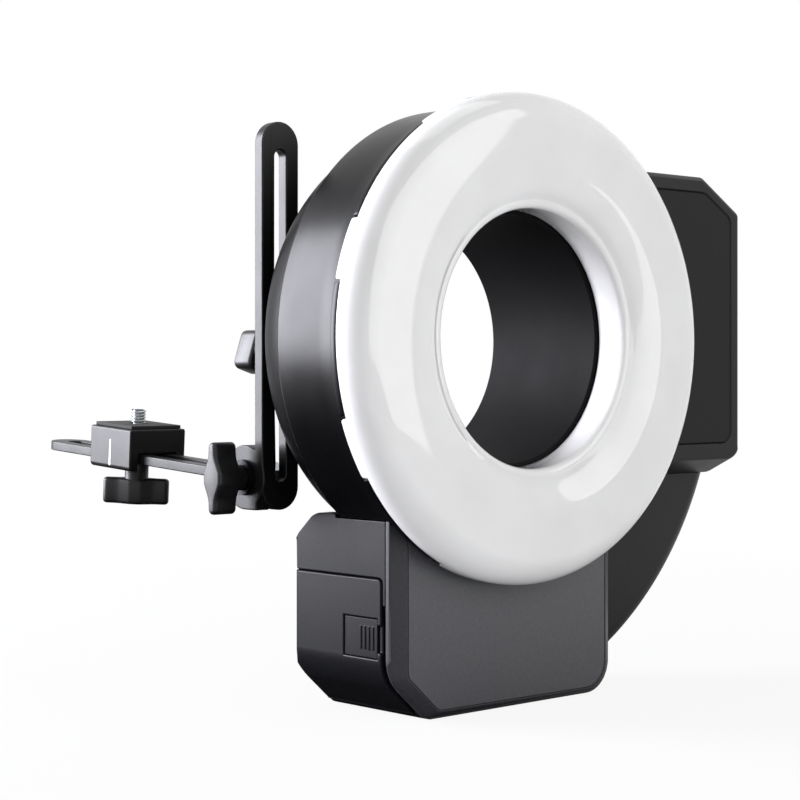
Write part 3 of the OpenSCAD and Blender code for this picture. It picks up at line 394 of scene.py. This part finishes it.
def moulded_abs(name, dark, light, grain_mm, depth_mm, rough, specular):
    """Plastic from a spark-eroded mould: a fine even grain that breaks up the reflections.
    The real grain is about 0.2 mm; it is drawn coarser, so that it shows in the render."""
    made, tree, shader = start_material(name, dark, rough, Specular_IOR_Level=specular)
    grain = noise(tree, grain_mm, detail=3.0, roughness=0.6)
    cloud = noise(tree, size_mm=18, detail=1.0)
    tint_by(grain, tree, shader, dark=(0.35, dark), light=(0.68, light))
    roughen_by(cloud, tree, shader, low=rough - 0.05, high=rough + 0.05)
    emboss_by(grain, tree, shader, strength=0.35, depth_mm=depth_mm)
    return made


textured_abs = moulded_abs(
    "textured_black_abs", "#060608", "#0c0c0e", grain_mm=0.7, depth_mm=0.05, rough=0.3, specular=0.14)

housing_r, housing_back, flange_r = 91.2, 33.5, 94.8
lip_r, lip_y, edge_y, flange_back = 92.3, -8.3, -6.3, -3.4
tray_r, floor_y, rear_round, edge_break = 88.7, 31, 3, 0.25
collar_r, collar_out, wall_loops, notch_play = 50.9, 53, (8, 22), 0.6
housing_line = [
    (tray_r, lip_y), (lip_r, lip_y), (lip_r, edge_y), (lip_r, flange_back), (housing_r, flange_back),
    *[(housing_r, y) for y in wall_loops],
    *arc(housing_r - rear_round, housing_back - rear_round, rear_round, 0, 90, 8),
    (collar_r, housing_back), (collar_r, 0), (collar_out, 0), (collar_out, floor_y), (tray_r, floor_y),
]
housing = turned("ring_tray", housing_line, ring_steps, first_edge)
notch_half = half_tooth + notch_play * step
flange_y = (edge_y + flange_back) / 2
pick("FACE", lambda f: abs(f.calc_center_median().y - flange_y * mm) < touch
     and f.normal.y ** 2 < 0.1 and not in_sector(f.calc_center_median(), tooth_mid, notch_half))
bpy.ops.mesh.extrude_region_move()
grow = flange_r / lip_r
bpy.ops.transform.resize(value=(grow, 1, grow), center_override=(0, 0, 0))
settle_mesh()
bpy.ops.object.mode_set(mode="OBJECT")
bevel_sharp(housing, edge_break, segments=2, angle=50)
hand_over(housing, textured_abs, "housing", "head", "ring_housing")

# Rear hub: a bowl moulded in a duller black ABS that closes the ring from behind. Four screws hold it
# on bosses of the tray, and a brass insert in its left side takes the clamp screw of the bracket.
tube_r, shell = 50.6, 2.5
hub_arc_r, hub_arc_x, hub_back, hub_flat_r, rim_gap = 32.5, 54, 59.5, 73.5, 0.2
flat_blend, hub_loop_r = 0.6, 62
bar_x, clamp_z, insert_hole_r = -67, -5, 4.35
screw_hole_r, screw_sunk, drill_from, drill_to = 2.8, 1.2, 50, 62
hub_end = math.degrees(math.asin((hub_back - housing_back) / hub_arc_r))
hub_end_in = math.degrees(math.asin((hub_back - shell - housing_back) / (hub_arc_r - shell)))
hub_line = [
    *arc(hub_arc_x, housing_back, hub_arc_r, 0, hub_end - 1, 22),
    (hub_flat_r - flat_blend, hub_back), (hub_loop_r, hub_back),
    (tube_r + rim_gap, hub_back), (tube_r + rim_gap, hub_back - shell),
    *arc(hub_arc_x, housing_back, hub_arc_r - shell, hub_end_in, 0, 8),
]
hub = turned("rear_hub_bowl", hub_line, steps=240)
bpy.ops.object.mode_set(mode="OBJECT")


def drill(piece, holes):
    """Bores holes along Y; each is x, z, radius, first and last y, in mm."""
    bits = []
    for x, z, radius, low, high in holes:
        bpy.ops.mesh.primitive_cylinder_add(
            vertices=64, radius=radius * mm, depth=(high - low) * mm,
            location=(x * mm, (low + high) / 2 * mm, z * mm), rotation=(math.pi / 2, 0, 0))
        bits.append(bpy.context.object)
    for bit in bits:
        apply_modifier(piece, "BOOLEAN", object=bit, operation="DIFFERENCE", solver="EXACT")
        bpy.data.objects.remove(bit)


hub_screw_at = (tube_r + hub_flat_r) / 2 * math.sqrt(0.5)
drill(hub, [
    (bar_x, clamp_z, insert_hole_r, drill_from, drill_to),
    *[(sx * hub_screw_at, sz * hub_screw_at, screw_hole_r, hub_back - screw_sunk, drill_to)
      for sx in (-1, 1) for sz in (-1, 1)],
])
hub_abs = moulded_abs(
    "dull_black_abs", "#060608", "#0c0c0e", grain_mm=0.7, depth_mm=0.05, rough=0.42, specular=0.07)
hand_over(hub, hub_abs, "housing", "head", "rear_hub")


def turned_metal(name, colour, roughness, mark_mm):
    """Metal off a lathe: fine tool marks that vary the roughness."""
    made, tree, shader = start_material(name, colour, roughness, Metallic=1.0)
    marks = noise(tree, mark_mm, detail=2.0)
    roughen_by(marks, tree, shader, low=roughness - 0.08, high=roughness + 0.1)
    emboss_by(marks, tree, shader, strength=0.12, depth_mm=0.02)
    return made


def finish_node(node, material):
    """Gives a CAD node that stays its finish."""
    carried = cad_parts[node]
    carried.data.materials.clear()
    carried.data.materials.append(material)


zinc_steel = turned_metal("zinc_plated_steel", "#b4b7ba", roughness=0.34, mark_mm=0.6)
brass = turned_metal("turned_brass", "#b08d3f", roughness=0.3, mark_mm=0.5)
black_steel = turned_metal("blackened_steel", "#2a2b2d", roughness=0.42, mark_mm=0.6)
finish_node("hub_screws", black_steel)
finish_node("clamp_insert", brass)

# Inner tube: a thin turned sleeve, matt black inside, that lines the hole of the ring from the front
# plane to the hub. Both ends have a small chamfer.
matt_abs = moulded_abs(
    "matt_black_abs", "#09090a", "#0e0e10", grain_mm=0.9, depth_mm=0.05, rough=0.65, specular=0.1)
bore_r, chamfer, sleeve_mid = 48.5, 0.6, 30
tube = turned("ring_sleeve", [
    (bore_r, chamfer), (bore_r + chamfer, 0), (tube_r, 0), (tube_r, sleeve_mid), (tube_r, hub_back),
    (bore_r + chamfer, hub_back), (bore_r, hub_back - chamfer), (bore_r, sleeve_mid),
], steps=240)
hand_over(tube, matt_abs, "housing", "head", "inner_tube")

# Light inside the tray: spun reflector, bent glass flash tube with metal ends and white clips, lamps
# on the reflector floor and a wound trigger coil. The opal ring hides them until it is pulled off.
mirror = turned_metal("polished_aluminium", "#d8dadc", roughness=0.14, mark_mm=3.0)
finish_node("reflector", mirror)
finish_node("tube_electrodes", zinc_steel)

# Quartz glass: clear, with a faint haze that softens the mirror of the reflector in it.
quartz, tree, shader = start_material(
    "quartz_glass", "#f4f8fa", 0.03, IOR=1.46, Transmission_Weight=1.0)
roughen_by(noise(tree, size_mm=14, detail=2.0), tree, shader, low=0.01, high=0.07)
finish_node("flash_tube", quartz)


def speckled(name, dark, light, spot_mm, roughness, **sockets):
    """Plain plastic, paint or rubber with a soft mottle of two near tones."""
    made, tree, shader = start_material(name, dark, roughness, **sockets)
    spots = noise(tree, spot_mm, detail=3.0)
    tint_by(spots, tree, shader, dark=(0.35, dark), light=(0.65, light))
    emboss_by(spots, tree, shader, strength=0.15, depth_mm=0.03)
    return made


ceramic = speckled("white_ceramic", "#d9d8d2", "#e6e5e0", spot_mm=1.5, roughness=0.5)
phosphor = speckled("lamp_phosphor", "#d9c062", "#e8d684", spot_mm=0.8, roughness=0.35)
coil_wire = speckled("enamelled_wire", "#6b3d1c", "#8a5428", spot_mm=0.6, roughness=0.3)
finish_node("tube_clips", ceramic)
finish_node("modelling_lamps", phosphor)
finish_node("trigger_coil", coil_wire)

# Base: a battery housing under the ring, moulded in textured ABS, with a sloped rear shoulder, a cut
# lower left corner and a round lower right one, closed inside by a thin skin. Its rear end and its
# rounded shoulder stand a little further back than in the solid; its edges are broken by the mould.
flat_angle = math.radians(0.6)


def blank_of(node, name):
    """Copies a CAD solid as the blank of a moulded piece, with flats made whole, in edit mode."""
    bpy.ops.object.select_all(action="DESELECT")
    blank = bpy.data.objects.new(name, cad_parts[node].data.copy())
    scene.collection.objects.link(blank)
    bpy.context.view_layer.objects.active = blank
    blank.select_set(True)
    bpy.ops.object.mode_set(mode="EDIT")
    bpy.ops.mesh.select_mode(type="VERT")
    bpy.ops.mesh.select_all(action="SELECT")
    bpy.ops.mesh.remove_doubles(threshold=same_point)
    bpy.ops.mesh.dissolve_limited(angle_limit=flat_angle)
    return blank


def break_edges(piece, width, segments=3, angle=30):
    """Rounds every edge that is sharper than the angle, and keeps the flats flat."""
    if bpy.context.mode != "OBJECT":
        bpy.ops.object.mode_set(mode="OBJECT")
    bevel_sharp(piece, width, segments, angle)
    bpy.ops.object.select_all(action="DESELECT")
    piece.select_set(True)
    bpy.ops.object.shade_smooth()
    apply_modifier(piece, "WEIGHTED_NORMAL", keep_sharp=True)


coarse_abs = moulded_abs(
    "coarse_black_abs", "#101013", "#19191c", grain_mm=0.8, depth_mm=0.07, rough=0.38, specular=0.14)
base_back, rear_zone, rear_reach = 57, 53, 1.9
shoulder_y, shoulder_z, shoulder_low = 41, -67, -83
shoulder_share, shoulder_round, base_break = 0.7625, 3.5, 0.6


def in_rear(vertex):
    """True for the vertices at the rear end of the base or of its door."""
    return vertex.co.y > rear_zone * mm


def in_shoulder(vertex):
    """True for the vertices of the sloped rear shoulder."""
    return vertex.co.y > (shoulder_y - 0.1) * mm and vertex.co.z > shoulder_low * mm


base = blank_of("base_shell", "base_housing")
pick("VERT", lambda v: in_rear(v) and not in_shoulder(v))
bpy.ops.transform.translate(value=(0, rear_reach * mm, 0))
pick("VERT", in_shoulder)
bpy.ops.transform.resize(value=(1, shoulder_share, 1), center_override=(0, base_back * mm, 0))
bpy.ops.transform.translate(value=(0, rear_reach * mm, 0))
slope_y = base_back + rear_reach - (base_back - shoulder_y) * shoulder_share
pick("EDGE", lambda e: all(
    abs(v.co.y - slope_y * mm) < touch and abs(v.co.z - shoulder_z * mm) < touch for v in e.verts))
bpy.ops.mesh.bevel(offset=shoulder_round * mm, segments=6, clamp_overlap=False)
break_edges(base, base_break)
skin_x, skin_z, skin_out, skin_in = 48, -130.6, 13.05, 12.65
skin_front, skin_back, skin_first, skin_last = 5.4, 54.6, -15, -75
skin_line = [
    *arc(skin_x, skin_z, skin_out, skin_first, skin_last, 4),
    *arc(skin_x, skin_z, skin_in, skin_last, skin_first, 4),
]
line = [(x * mm, skin_front * mm, z * mm) for x, z in [*skin_line, skin_line[0]]]
draw_profile("base_corner_skin", line)
bpy.ops.mesh.remove_doubles(threshold=same_point)
bpy.ops.mesh.edge_face_add()
bpy.ops.mesh.extrude_region_move(
    TRANSFORM_OT_translate={"value": (0, (skin_back - skin_front) * mm, 0)})
settle_mesh()
bpy.ops.object.mode_set(mode="OBJECT")
bpy.ops.object.shade_smooth_by_angle(angle=math.radians(32))
base.select_set(True)
bpy.context.view_layer.objects.active = base
bpy.ops.object.join()
dress(base, coarse_abs, "housing", "head", "base_shell")

# Front frame of the base: a bevelled moulding in a greyer ABS that holds the panel. Its left land is
# lifted and rounded, so that it catches the light as a pale strip.
frame_land, frame_lift, frame_round, thin_break = 4.4, 2.0, 1.3, 0.2
cover = blank_of("base_cover", "base_front_frame")
pick("VERT", lambda v: abs(v.co.y - frame_land * mm) < touch and v.co.x < 0)
bpy.ops.transform.translate(value=(0, -frame_lift * mm, 0))
pick("EDGE", lambda e: all(
    abs(v.co.y - (frame_land - frame_lift) * mm) < touch and v.co.x < 0 for v in e.verts))
bpy.ops.mesh.bevel(offset=frame_round * mm, segments=4, clamp_overlap=False)
break_edges(cover, thin_break, segments=2)
frame_abs = moulded_abs(
    "frame_black_abs", "#2e2e32", "#38383d", grain_mm=0.8, depth_mm=0.05, rough=0.4, specular=0.3)
dress(cover, frame_abs, "housing", "head", "base_cover")

# Front panel of the base: a bare sheet of smooth satin ABS let into the slanted frame.
satin_panel = moulded_abs(
    "satin_black_panel", "#4c4c50", "#545458", grain_mm=1.6, depth_mm=0.015, rough=0.36, specular=0.45)
panel = blank_of("base_panel", "base_front_panel")
break_edges(panel, thin_break, segments=2)
dress(panel, satin_panel, "panel", "head", "base_panel")

# Battery, contacts and capacitors inside the base, reached through the door on the left.
shrink_film = speckled("shrink_film", "#1f2124", "#292b2f", spot_mm=4, roughness=0.3)
sleeved_can = speckled("sleeved_can", "#1d2a52", "#26356a", spot_mm=3, roughness=0.28)
finish_node("battery_pack", shrink_film)
finish_node("battery_contacts", brass)
finish_node("capacitors", sleeved_can)

# Battery door: a moulded cover that wraps the side and the cut corner and slides off to the back.
# It stands half a millimetre proud, so its top and front edges catch the light.
door = blank_of("battery_door", "battery_door_cover")
pick("VERT", in_rear)
bpy.ops.transform.translate(value=(0, rear_reach * mm, 0))
break_edges(door, base_break)
dress(door, coarse_abs, "housing", "battery_door", "battery_door")

# Door latch: a sunk press plate with four thumb ribs, moulded in the door's plastic.
latch = blank_of("door_latch", "door_press_latch")
break_edges(latch, thin_break, segments=2)
dress(latch, coarse_abs, "housing", "door_latch", "door_latch")

# Control box: two moulded shells, a front with a shallow inlaid plate and a rear with the controls.
# Smooth satin black. A cutter swept along the sloped front and the straight sides gives both shells a
# wide round lower right corner; the other edges have a broad soft break.
smooth_abs = moulded_abs(
    "smooth_black_abs", "#151517", "#1c1c1e", grain_mm=1.2, depth_mm=0.02, rough=0.38, specular=0.2)
box_right, box_low, box_corner, slope_rise, slope_end = 142.7, -57, 8, 6.6, 13.3
straight_l, overcut, sliver, box_break = 40, 4, 0.5, 0.9
corner_x, corner_z = box_right - box_corner, box_low + box_corner
corner_line = [
    *arc(corner_x, corner_z, box_corner, 0, -90, 10),
    (corner_x, box_low - overcut), (box_right + overcut, box_low - overcut),
    (box_right + overcut, corner_z),
]
sloped, straight = (0, slope_end * mm, -slope_rise * mm), (0, straight_l * mm, 0)
shells = (("control_front", "control_box_front"), ("control_rear", "control_box_rear"))
for node, name in shells:
    shell_piece = blank_of(node, name)
    bpy.ops.object.mode_set(mode="OBJECT")
    line = [(x * mm, 0, (z + slope_rise) * mm) for x, z in [*corner_line, corner_line[0]]]
    cutter = draw_profile("corner_cutter", line)
    bpy.ops.mesh.remove_doubles(threshold=same_point)
    bpy.ops.transform.translate(value=(0, -sloped[1], -sloped[2]))
    bpy.ops.mesh.edge_face_add()
    for way in (sloped, sloped, straight):
        bpy.ops.mesh.extrude_region_move(TRANSFORM_OT_translate={"value": way})
    settle_mesh()
    bpy.ops.object.mode_set(mode="OBJECT")
    apply_modifier(shell_piece, "BOOLEAN", object=cutter, operation="DIFFERENCE", solver="EXACT")
    bpy.data.objects.remove(cutter)
    bpy.ops.object.mode_set(mode="EDIT")
    settle_mesh()
    bpy.ops.mesh.dissolve_limited(angle_limit=flat_angle)
    pick("VERT", lambda v: v.co.x > box_right * mm - touch and abs(v.co.z - corner_z * mm) < touch)
    bpy.ops.mesh.remove_doubles(threshold=sliver * mm)
    break_edges(shell_piece, box_break, angle=25)
    dress(shell_piece, smooth_abs, "housing", "head", node)
satin_plate = moulded_abs(
    "satin_black_plate", "#0d0d0f", "#131315", grain_mm=1.6, depth_mm=0.015, rough=0.4, specular=0.15)
inlay_break = 0.15
plate = blank_of("control_plate", "control_box_plate")
break_edges(plate, inlay_break, segments=2)
dress(plate, satin_plate, "panel", "head", "control_plate")

# Display: an acrylic window in the rear shell over an unlit liquid crystal module, with the board, the
# encoder and the screws of the box behind and beside it.
# The pane gives a dull grey green with a faint grid of cells, drawn coarser than the real 0.3 mm.
cell_mm = 0.9
window, tree, shader = start_material(
    "display_window", "#59635c", 0.12, IOR=1.49, Coat_Weight=0.6, Coat_Roughness=0.05)
place = add_node(tree, "ShaderNodeTexCoord")
cells = add_node(
    tree, "ShaderNodeTexVoronoi",
    {"Scale": 1 / (cell_mm * mm), "distance": "CHEBYCHEV", "Randomness": 0.0},
    {"Vector": (place, "Object")})
tint_by((cells, "Distance"), tree, shader, dark=(0.3, "#5d6860"), light=(0.5, "#535d56"))
pane = blank_of("lcd_window", "display_pane")
break_edges(pane, inlay_break, segments=2)
dress(pane, window, "display", "head", "lcd_window")
solder_mask = speckled("green_solder_mask", "#16402a", "#1e5236", spot_mm=1.2, roughness=0.35)
finish_node("lcd_module", solder_mask)
finish_node("main_board", solder_mask)
finish_node("encoder", zinc_steel)
finish_node("case_screws", black_steel)
finish_node("sync_jack", zinc_steel)

# Controls on the rear shell: a fluted dial with a push button in it, three keys, a red test button
# beside a small ready lamp, and a sliding power switch. All are moulded and loose in their holes.
key_plastic = moulded_abs(
    "key_plastic", "#242427", "#2c2c30", grain_mm=1.0, depth_mm=0.02, rough=0.42, specular=0.4)
red_plastic = moulded_abs(
    "red_key_plastic", "#8e1f1a", "#a3261f", grain_mm=1.0, depth_mm=0.02, rough=0.35, specular=0.5)
flute_break, key_break = 0.25, 0.4
dial = blank_of("control_dial", "fluted_dial")
break_edges(dial, flute_break, segments=2)
dress(dial, key_plastic, "keys", "control_dial", "control_dial")
for node, name, finish, slot in (
    ("set_button", "dial_push", key_plastic, "keys"),
    ("mode_button", "key_left", key_plastic, "keys"),
    ("lamp_button", "key_middle", key_plastic, "keys"),
    ("sound_button", "key_right", key_plastic, "keys"),
    ("test_button", "test_push", red_plastic, "test_key"),
    ("power_switch", "power_slide", key_plastic, "keys"),
):
    key = blank_of(node, name)
    break_edges(key, key_break)
    dress(key, finish, slot, node, node)
lamp_cap = speckled(
    "clear_lamp_cap", "#d9d2bc", "#e6e0cc", spot_mm=1.0, roughness=0.12, Coat_Weight=0.5)
finish_node("ready_lamp", lamp_cap)

# Arm: a curved housing, concentric with the ring, between the control box and the base. It is moulded
# with wide round edges; its inner side follows the tray and the hub.
arm_r, arm_front, arm_back, arm_round = 148.3, 13.3, 49.3, 8
arm_loop_r, base_right, gap = 120, 61, 0.3
hub_reach = math.degrees(math.asin((arm_back - housing_back) / (hub_arc_r + gap)))
arm_line = [
    (housing_r + gap, arm_front), (arm_loop_r, arm_front),
    *arc(arm_r - arm_round, arm_front + arm_round, arm_round, -90, 0, 10),
    *arc(arm_r - arm_round, arm_back - arm_round, arm_round, 0, 90, 10),
    *arc(hub_arc_x, housing_back, hub_arc_r + gap, hub_reach, 0.5, 8),
    (housing_r + gap, housing_back + gap),
]
arm_start, arm_turn = math.radians(-78), math.radians(64)
line = [
    (r * math.cos(arm_start) * mm, y * mm, r * math.sin(arm_start) * mm)
    for r, y in [*arm_line, arm_line[0]]
]
arm = draw_profile("curved_arm", line)
bpy.ops.mesh.spin(steps=96, angle=arm_turn, center=(0, 0, 0), axis=(0, 1, 0))
settle_mesh()
bpy.ops.mesh.select_all(action="SELECT")
bpy.ops.mesh.bisect(
    plane_co=(base_right * mm, 0, 0), plane_no=(1, 0, 0), use_fill=True, clear_inner=True)
bpy.ops.mesh.select_all(action="SELECT")
bpy.ops.mesh.bisect(
    plane_co=(0, 0, box_low * mm), plane_no=(0, 0, 1), use_fill=True, clear_outer=True)
settle_mesh()
hand_over(arm, smooth_abs, "housing", "head", "arm_shell")

# Bracket bar: a strip of aluminium, slotted, bent at its foot to an ear and anodised black. It slides
# on the clamp screw, so the head moves up and down in front of it.
# Anodising gives an even dull black with a very fine tooth, so the same grain serves for it.
anodised = moulded_abs(
    "black_anodised_aluminium", "#0b0b0c", "#131315", grain_mm=0.5, depth_mm=0.03, rough=0.4,
    specular=0.3)
bar_break, rail_break, block_break, pad_break = 0.6, 0.5, 0.7, 0.35
bar = blank_of("mount_bar", "slotted_bar")
break_edges(bar, bar_break)
dress(bar, anodised, "bracket", "mount_bar", "mount_bar")

# Rail: the second slotted strip, with a tongue that tilts beside the ear on the pivot screw.
rail = blank_of("rail", "slotted_rail")
break_edges(rail, rail_break)
dress(rail, anodised, "bracket", "rail", "rail")
finish_node("pivot_nut", zinc_steel)
finish_node("pivot_washer", black_steel)
finish_node("clamp_washer", black_steel)

# Slider block: a milled block that straddles the rail, with a painted index line on its left end and
# a rubber pad on top, through which the tripod screw stands.
block = blank_of("slider_block", "slider_saddle")
break_edges(block, block_break)
dress(block, anodised, "bracket", "slider", "slider_block")
rubber = speckled("ribbed_rubber", "#161616", "#1e1e1e", spot_mm=0.8, roughness=0.75)
pad = blank_of("block_pad", "rubber_pad")
break_edges(pad, pad_break)
dress(pad, rubber, "rubber", "slider", "block_pad")

tilt = math.radians(3.5)
pivot_y, pivot_z = 71.5, -54
pivot = Vector((bar_x, pivot_y, pivot_z)) * mm
along = Vector((0, math.cos(tilt), math.sin(tilt)))
up = Vector((0, -math.sin(tilt), math.cos(tilt)))
block_at, block_side, block_up, pad_t = 86.5, 14, 12.6, 1.5
line_low, line_high, line_w, paint_t, paint_break = -3.4, 7.6, 1.2, 0.1, 0.03
line_mid = pivot + along * block_at * mm + up * (line_low + line_high) / 2 * mm
bpy.ops.object.select_all(action="DESELECT")
bpy.ops.mesh.primitive_cube_add(
    size=1, location=line_mid + Vector((-block_side * mm, 0, 0)), rotation=(tilt, 0, 0))
index_line = bpy.context.object
index_line.name = "index_line"
index_line.scale = (paint_t * mm, line_w * mm, (line_high - line_low) * mm)
white_paint = speckled("white_marking_paint", "#dcdcd8", "#ececea", spot_mm=0.7, roughness=0.5)
bpy.ops.object.transform_apply(location=True, rotation=True, scale=True)
break_edges(index_line, paint_break, segments=1)
hand_over(index_line, white_paint, "clip", "slider")

# Knobs: glass-filled nylon moulded on the heads of the screws. The pivot and the tripod screw have wings
# with a thick middle, hollow flanks and slim round tips; the clamp screw has an oblong thumb knob.
# Each is modelled along Y on a round neck and then placed on its screw.


def fillet(a, b, c, radius, count=6):
    """Points that round the corner b between a and c."""
    u, v = (a - b).normalized(), (c - b).normalized()
    half = u.angle(v) / 2
    middle = b + (u + v).normalized() * (radius / math.sin(half))
    first = b + u * (radius / math.tan(half)) - middle
    last = b + v * (radius / math.tan(half)) - middle
    turn = math.atan2(first.x * last.y - first.y * last.x, first.dot(last))
    base_turn = math.atan2(first.y, first.x)
    return [
        middle + radius * Vector((math.cos(angle), math.sin(angle)))
        for angle in (base_turn + turn * i / count for i in range(count + 1))
    ]


def round_corners(corners):
    """Closed outline through corners, each rounded by its own radius."""
    line = []
    for i, (corner, radius) in enumerate(corners):
        line += fillet(corners[i - 1][0], corner, corners[(i + 1) % len(corners)][0], radius)
    return line


wing_span, wing_mid, wing_tip, wing_h, wing_edge = 28, 11, 4.5, 11, 1.5
neck_r, neck_h, neck_break = 5, 3.2, 0.4
slim = 0.56 * wing_tip
tip_round, hollow_round, mid_round = 0.49 * wing_tip, 0.3 * wing_span, 0.12 * wing_span
flank = [
    (-0.5, wing_tip / 2, tip_round), (-0.29, slim, hollow_round), (-0.08, wing_mid / 2, mid_round),
    (0.08, wing_mid / 2, mid_round), (0.29, slim, hollow_round), (0.5, wing_tip / 2, tip_round),
]
wing_line = round_corners([
    (Vector((side * share * wing_span, -side * half)), radius)
    for side in (1, -1) for share, half, radius in flank])
nylon = moulded_abs(
    "black_nylon", "#101012", "#18181a", grain_mm=0.8, depth_mm=0.04, rough=0.42, specular=0.45)


def wing_knob(name, neck, outline=wing_line):
    """Knob along +Y: its neck starts at 0 and the wings or the oblong head stand on it."""
    ring = [(p.x * mm, neck * mm, p.y * mm) for p in outline]
    knob = draw_profile(name, [*ring, ring[0]])
    bpy.ops.mesh.remove_doubles(threshold=same_point)
    bpy.ops.mesh.edge_face_add()
    bpy.ops.mesh.extrude_region_move(TRANSFORM_OT_translate={"value": (0, wing_h * mm, 0)})
    settle_mesh()
    level = [neck * mm, (neck + wing_h) * mm]
    pick("EDGE", lambda e: abs(e.verts[0].co.y - e.verts[1].co.y) < same_point / 2
         and min(abs(e.verts[0].co.y - y) for y in level) < same_point / 2)
    bpy.ops.mesh.bevel(offset=wing_edge * mm, segments=4, clamp_overlap=False)
    bpy.ops.object.mode_set(mode="OBJECT")
    turned(name + "_stem", [
        (0, 0), (neck_r - neck_break, 0), (neck_r, neck_break), (neck_r, neck - neck_break),
        (neck_r + 0.5, neck + 0.6), (neck_r + 0.5, neck + 3), (0, neck + 3),
    ], steps=48)
    bpy.ops.object.mode_set(mode="OBJECT")
    knob.select_set(True)
    bpy.context.view_layer.objects.active = knob
    bpy.ops.object.join()
    return knob


def screw_shank(name, radius, length, end_break=0.5):
    """Plain steel shank along -Y with a broken end."""
    shank = turned(name, [
        (0, end_break), (radius, end_break), (radius, -length + end_break),
        (radius - end_break, -length), (0, -length),
    ], steps=40)
    bpy.ops.object.mode_set(mode="OBJECT")
    return shank


def place_piece(piece, origin, x_axis, y_axis):
    """Moves a piece that is modelled about the origin to its place on the bracket."""
    z_axis = x_axis.cross(y_axis)
    turn = Matrix((x_axis, y_axis, z_axis)).transposed().to_4x4()
    piece.matrix_world = Matrix.Translation(origin) @ turn


clamp_l, clamp_w, clamp_round, clamp_seat_y = 16, 12, 3, 66.6
thumb_line = round_corners([
    (Vector((x * clamp_l / 2, y * clamp_w / 2)), clamp_round)
    for x, y in ((-1, -1), (1, -1), (1, 1), (-1, 1))])
turn = math.radians(-72)
seat = Vector((bar_x, clamp_seat_y, clamp_z)) * mm
clamp = wing_knob("clamp_thumb_knob", neck_h, thumb_line)
shank = screw_shank("clamp_screw_shank", radius=2.5, length=18)
for piece in (clamp, shank):
    place_piece(piece, seat, Vector((math.cos(turn), 0, -math.sin(turn))), Vector((0, 1, 0)))
hand_over(clamp, nylon, "knob", "clamp_knob", "clamp_knob", smooth=40)
hand_over(shank, zinc_steel, "knob", "clamp_knob")

ear_x, washer_room = -76, 1.8
seat = Vector((ear_x - washer_room, pivot_y, pivot_z)) * mm
pivot_wings = wing_knob("pivot_wing_knob", neck_h)
shank = screw_shank("pivot_screw_shank", radius=3, length=17.9)
for piece in (pivot_wings, shank):
    place_piece(piece, seat, Vector((0, 0, 1)), Vector((-1, 0, 0)))
hand_over(pivot_wings, nylon, "knob", "pivot_knob", "pivot_knob", smooth=40)
hand_over(shank, zinc_steel, "knob", "pivot_knob")

turn = math.radians(-42)
under_rail, tripod_neck = 2.3, 7.0
seat = pivot + along * block_at * mm - up * under_rail * mm
tripod = wing_knob("tripod_wing_knob", tripod_neck)
across = Vector((1, 0, 0)) * math.cos(turn) + along * math.sin(turn)
place_piece(tripod, seat, across, -up)
hand_over(tripod, nylon, "knob", "tripod_knob", "tripod_knob", smooth=40)

# Tripod screw: 1/4 inch steel screw with 20 threads to the inch, whose thread stands above the pad.
thread_pitch, crest, root, thread_l, thread_cut, thread_turns = 1.27, 3.175, 2.5, 5.5, 2, 7
tooth_flank = ((root, 0), (crest - 0.06, 0.5), (crest, 0.58), (crest, 0.7), (crest - 0.06, 0.78))
thread_line = [(r * mm, 0, z * mm) for r, z in (*tooth_flank, (root, thread_pitch))]
thread = draw_profile("tripod_thread", thread_line)
bpy.ops.object.mode_set(mode="OBJECT")
apply_modifier(
    thread, "SCREW", axis="Z", angle=2 * math.pi, screw_offset=thread_pitch * mm,
    iterations=thread_turns, steps=40, render_steps=40, use_merge_vertices=True,
    merge_threshold=same_point)
bpy.ops.object.mode_set(mode="EDIT")
bpy.ops.mesh.select_all(action="SELECT")
bpy.ops.mesh.bisect(
    plane_co=(0, 0, thread_cut * mm), plane_no=(0, 0, 1), use_fill=True, clear_inner=True)
bpy.ops.mesh.select_all(action="SELECT")
bpy.ops.mesh.bisect(
    plane_co=(0, 0, (thread_cut + thread_l) * mm), plane_no=(0, 0, 1), use_fill=True,
    clear_outer=True)
settle_mesh()
bpy.ops.object.mode_set(mode="OBJECT")
thread_foot = pivot + along * block_at * mm + up * (block_up + pad_t + gap) * mm
thread.matrix_world = (
    Matrix.Translation(thread_foot) @ Matrix.Rotation(tilt, 4, "X")
    @ Matrix.Translation((0, 0, -thread_cut * mm)))
hand_over(thread, zinc_steel, "knob", "tripod_knob", smooth=35)
shank_lift = 0.2
shank = screw_shank("tripod_screw_shank", radius=2.45, length=17)
place_piece(shank, seat + up * shank_lift * mm, across, -up)
hand_over(shank, zinc_steel, "knob", "tripod_knob")
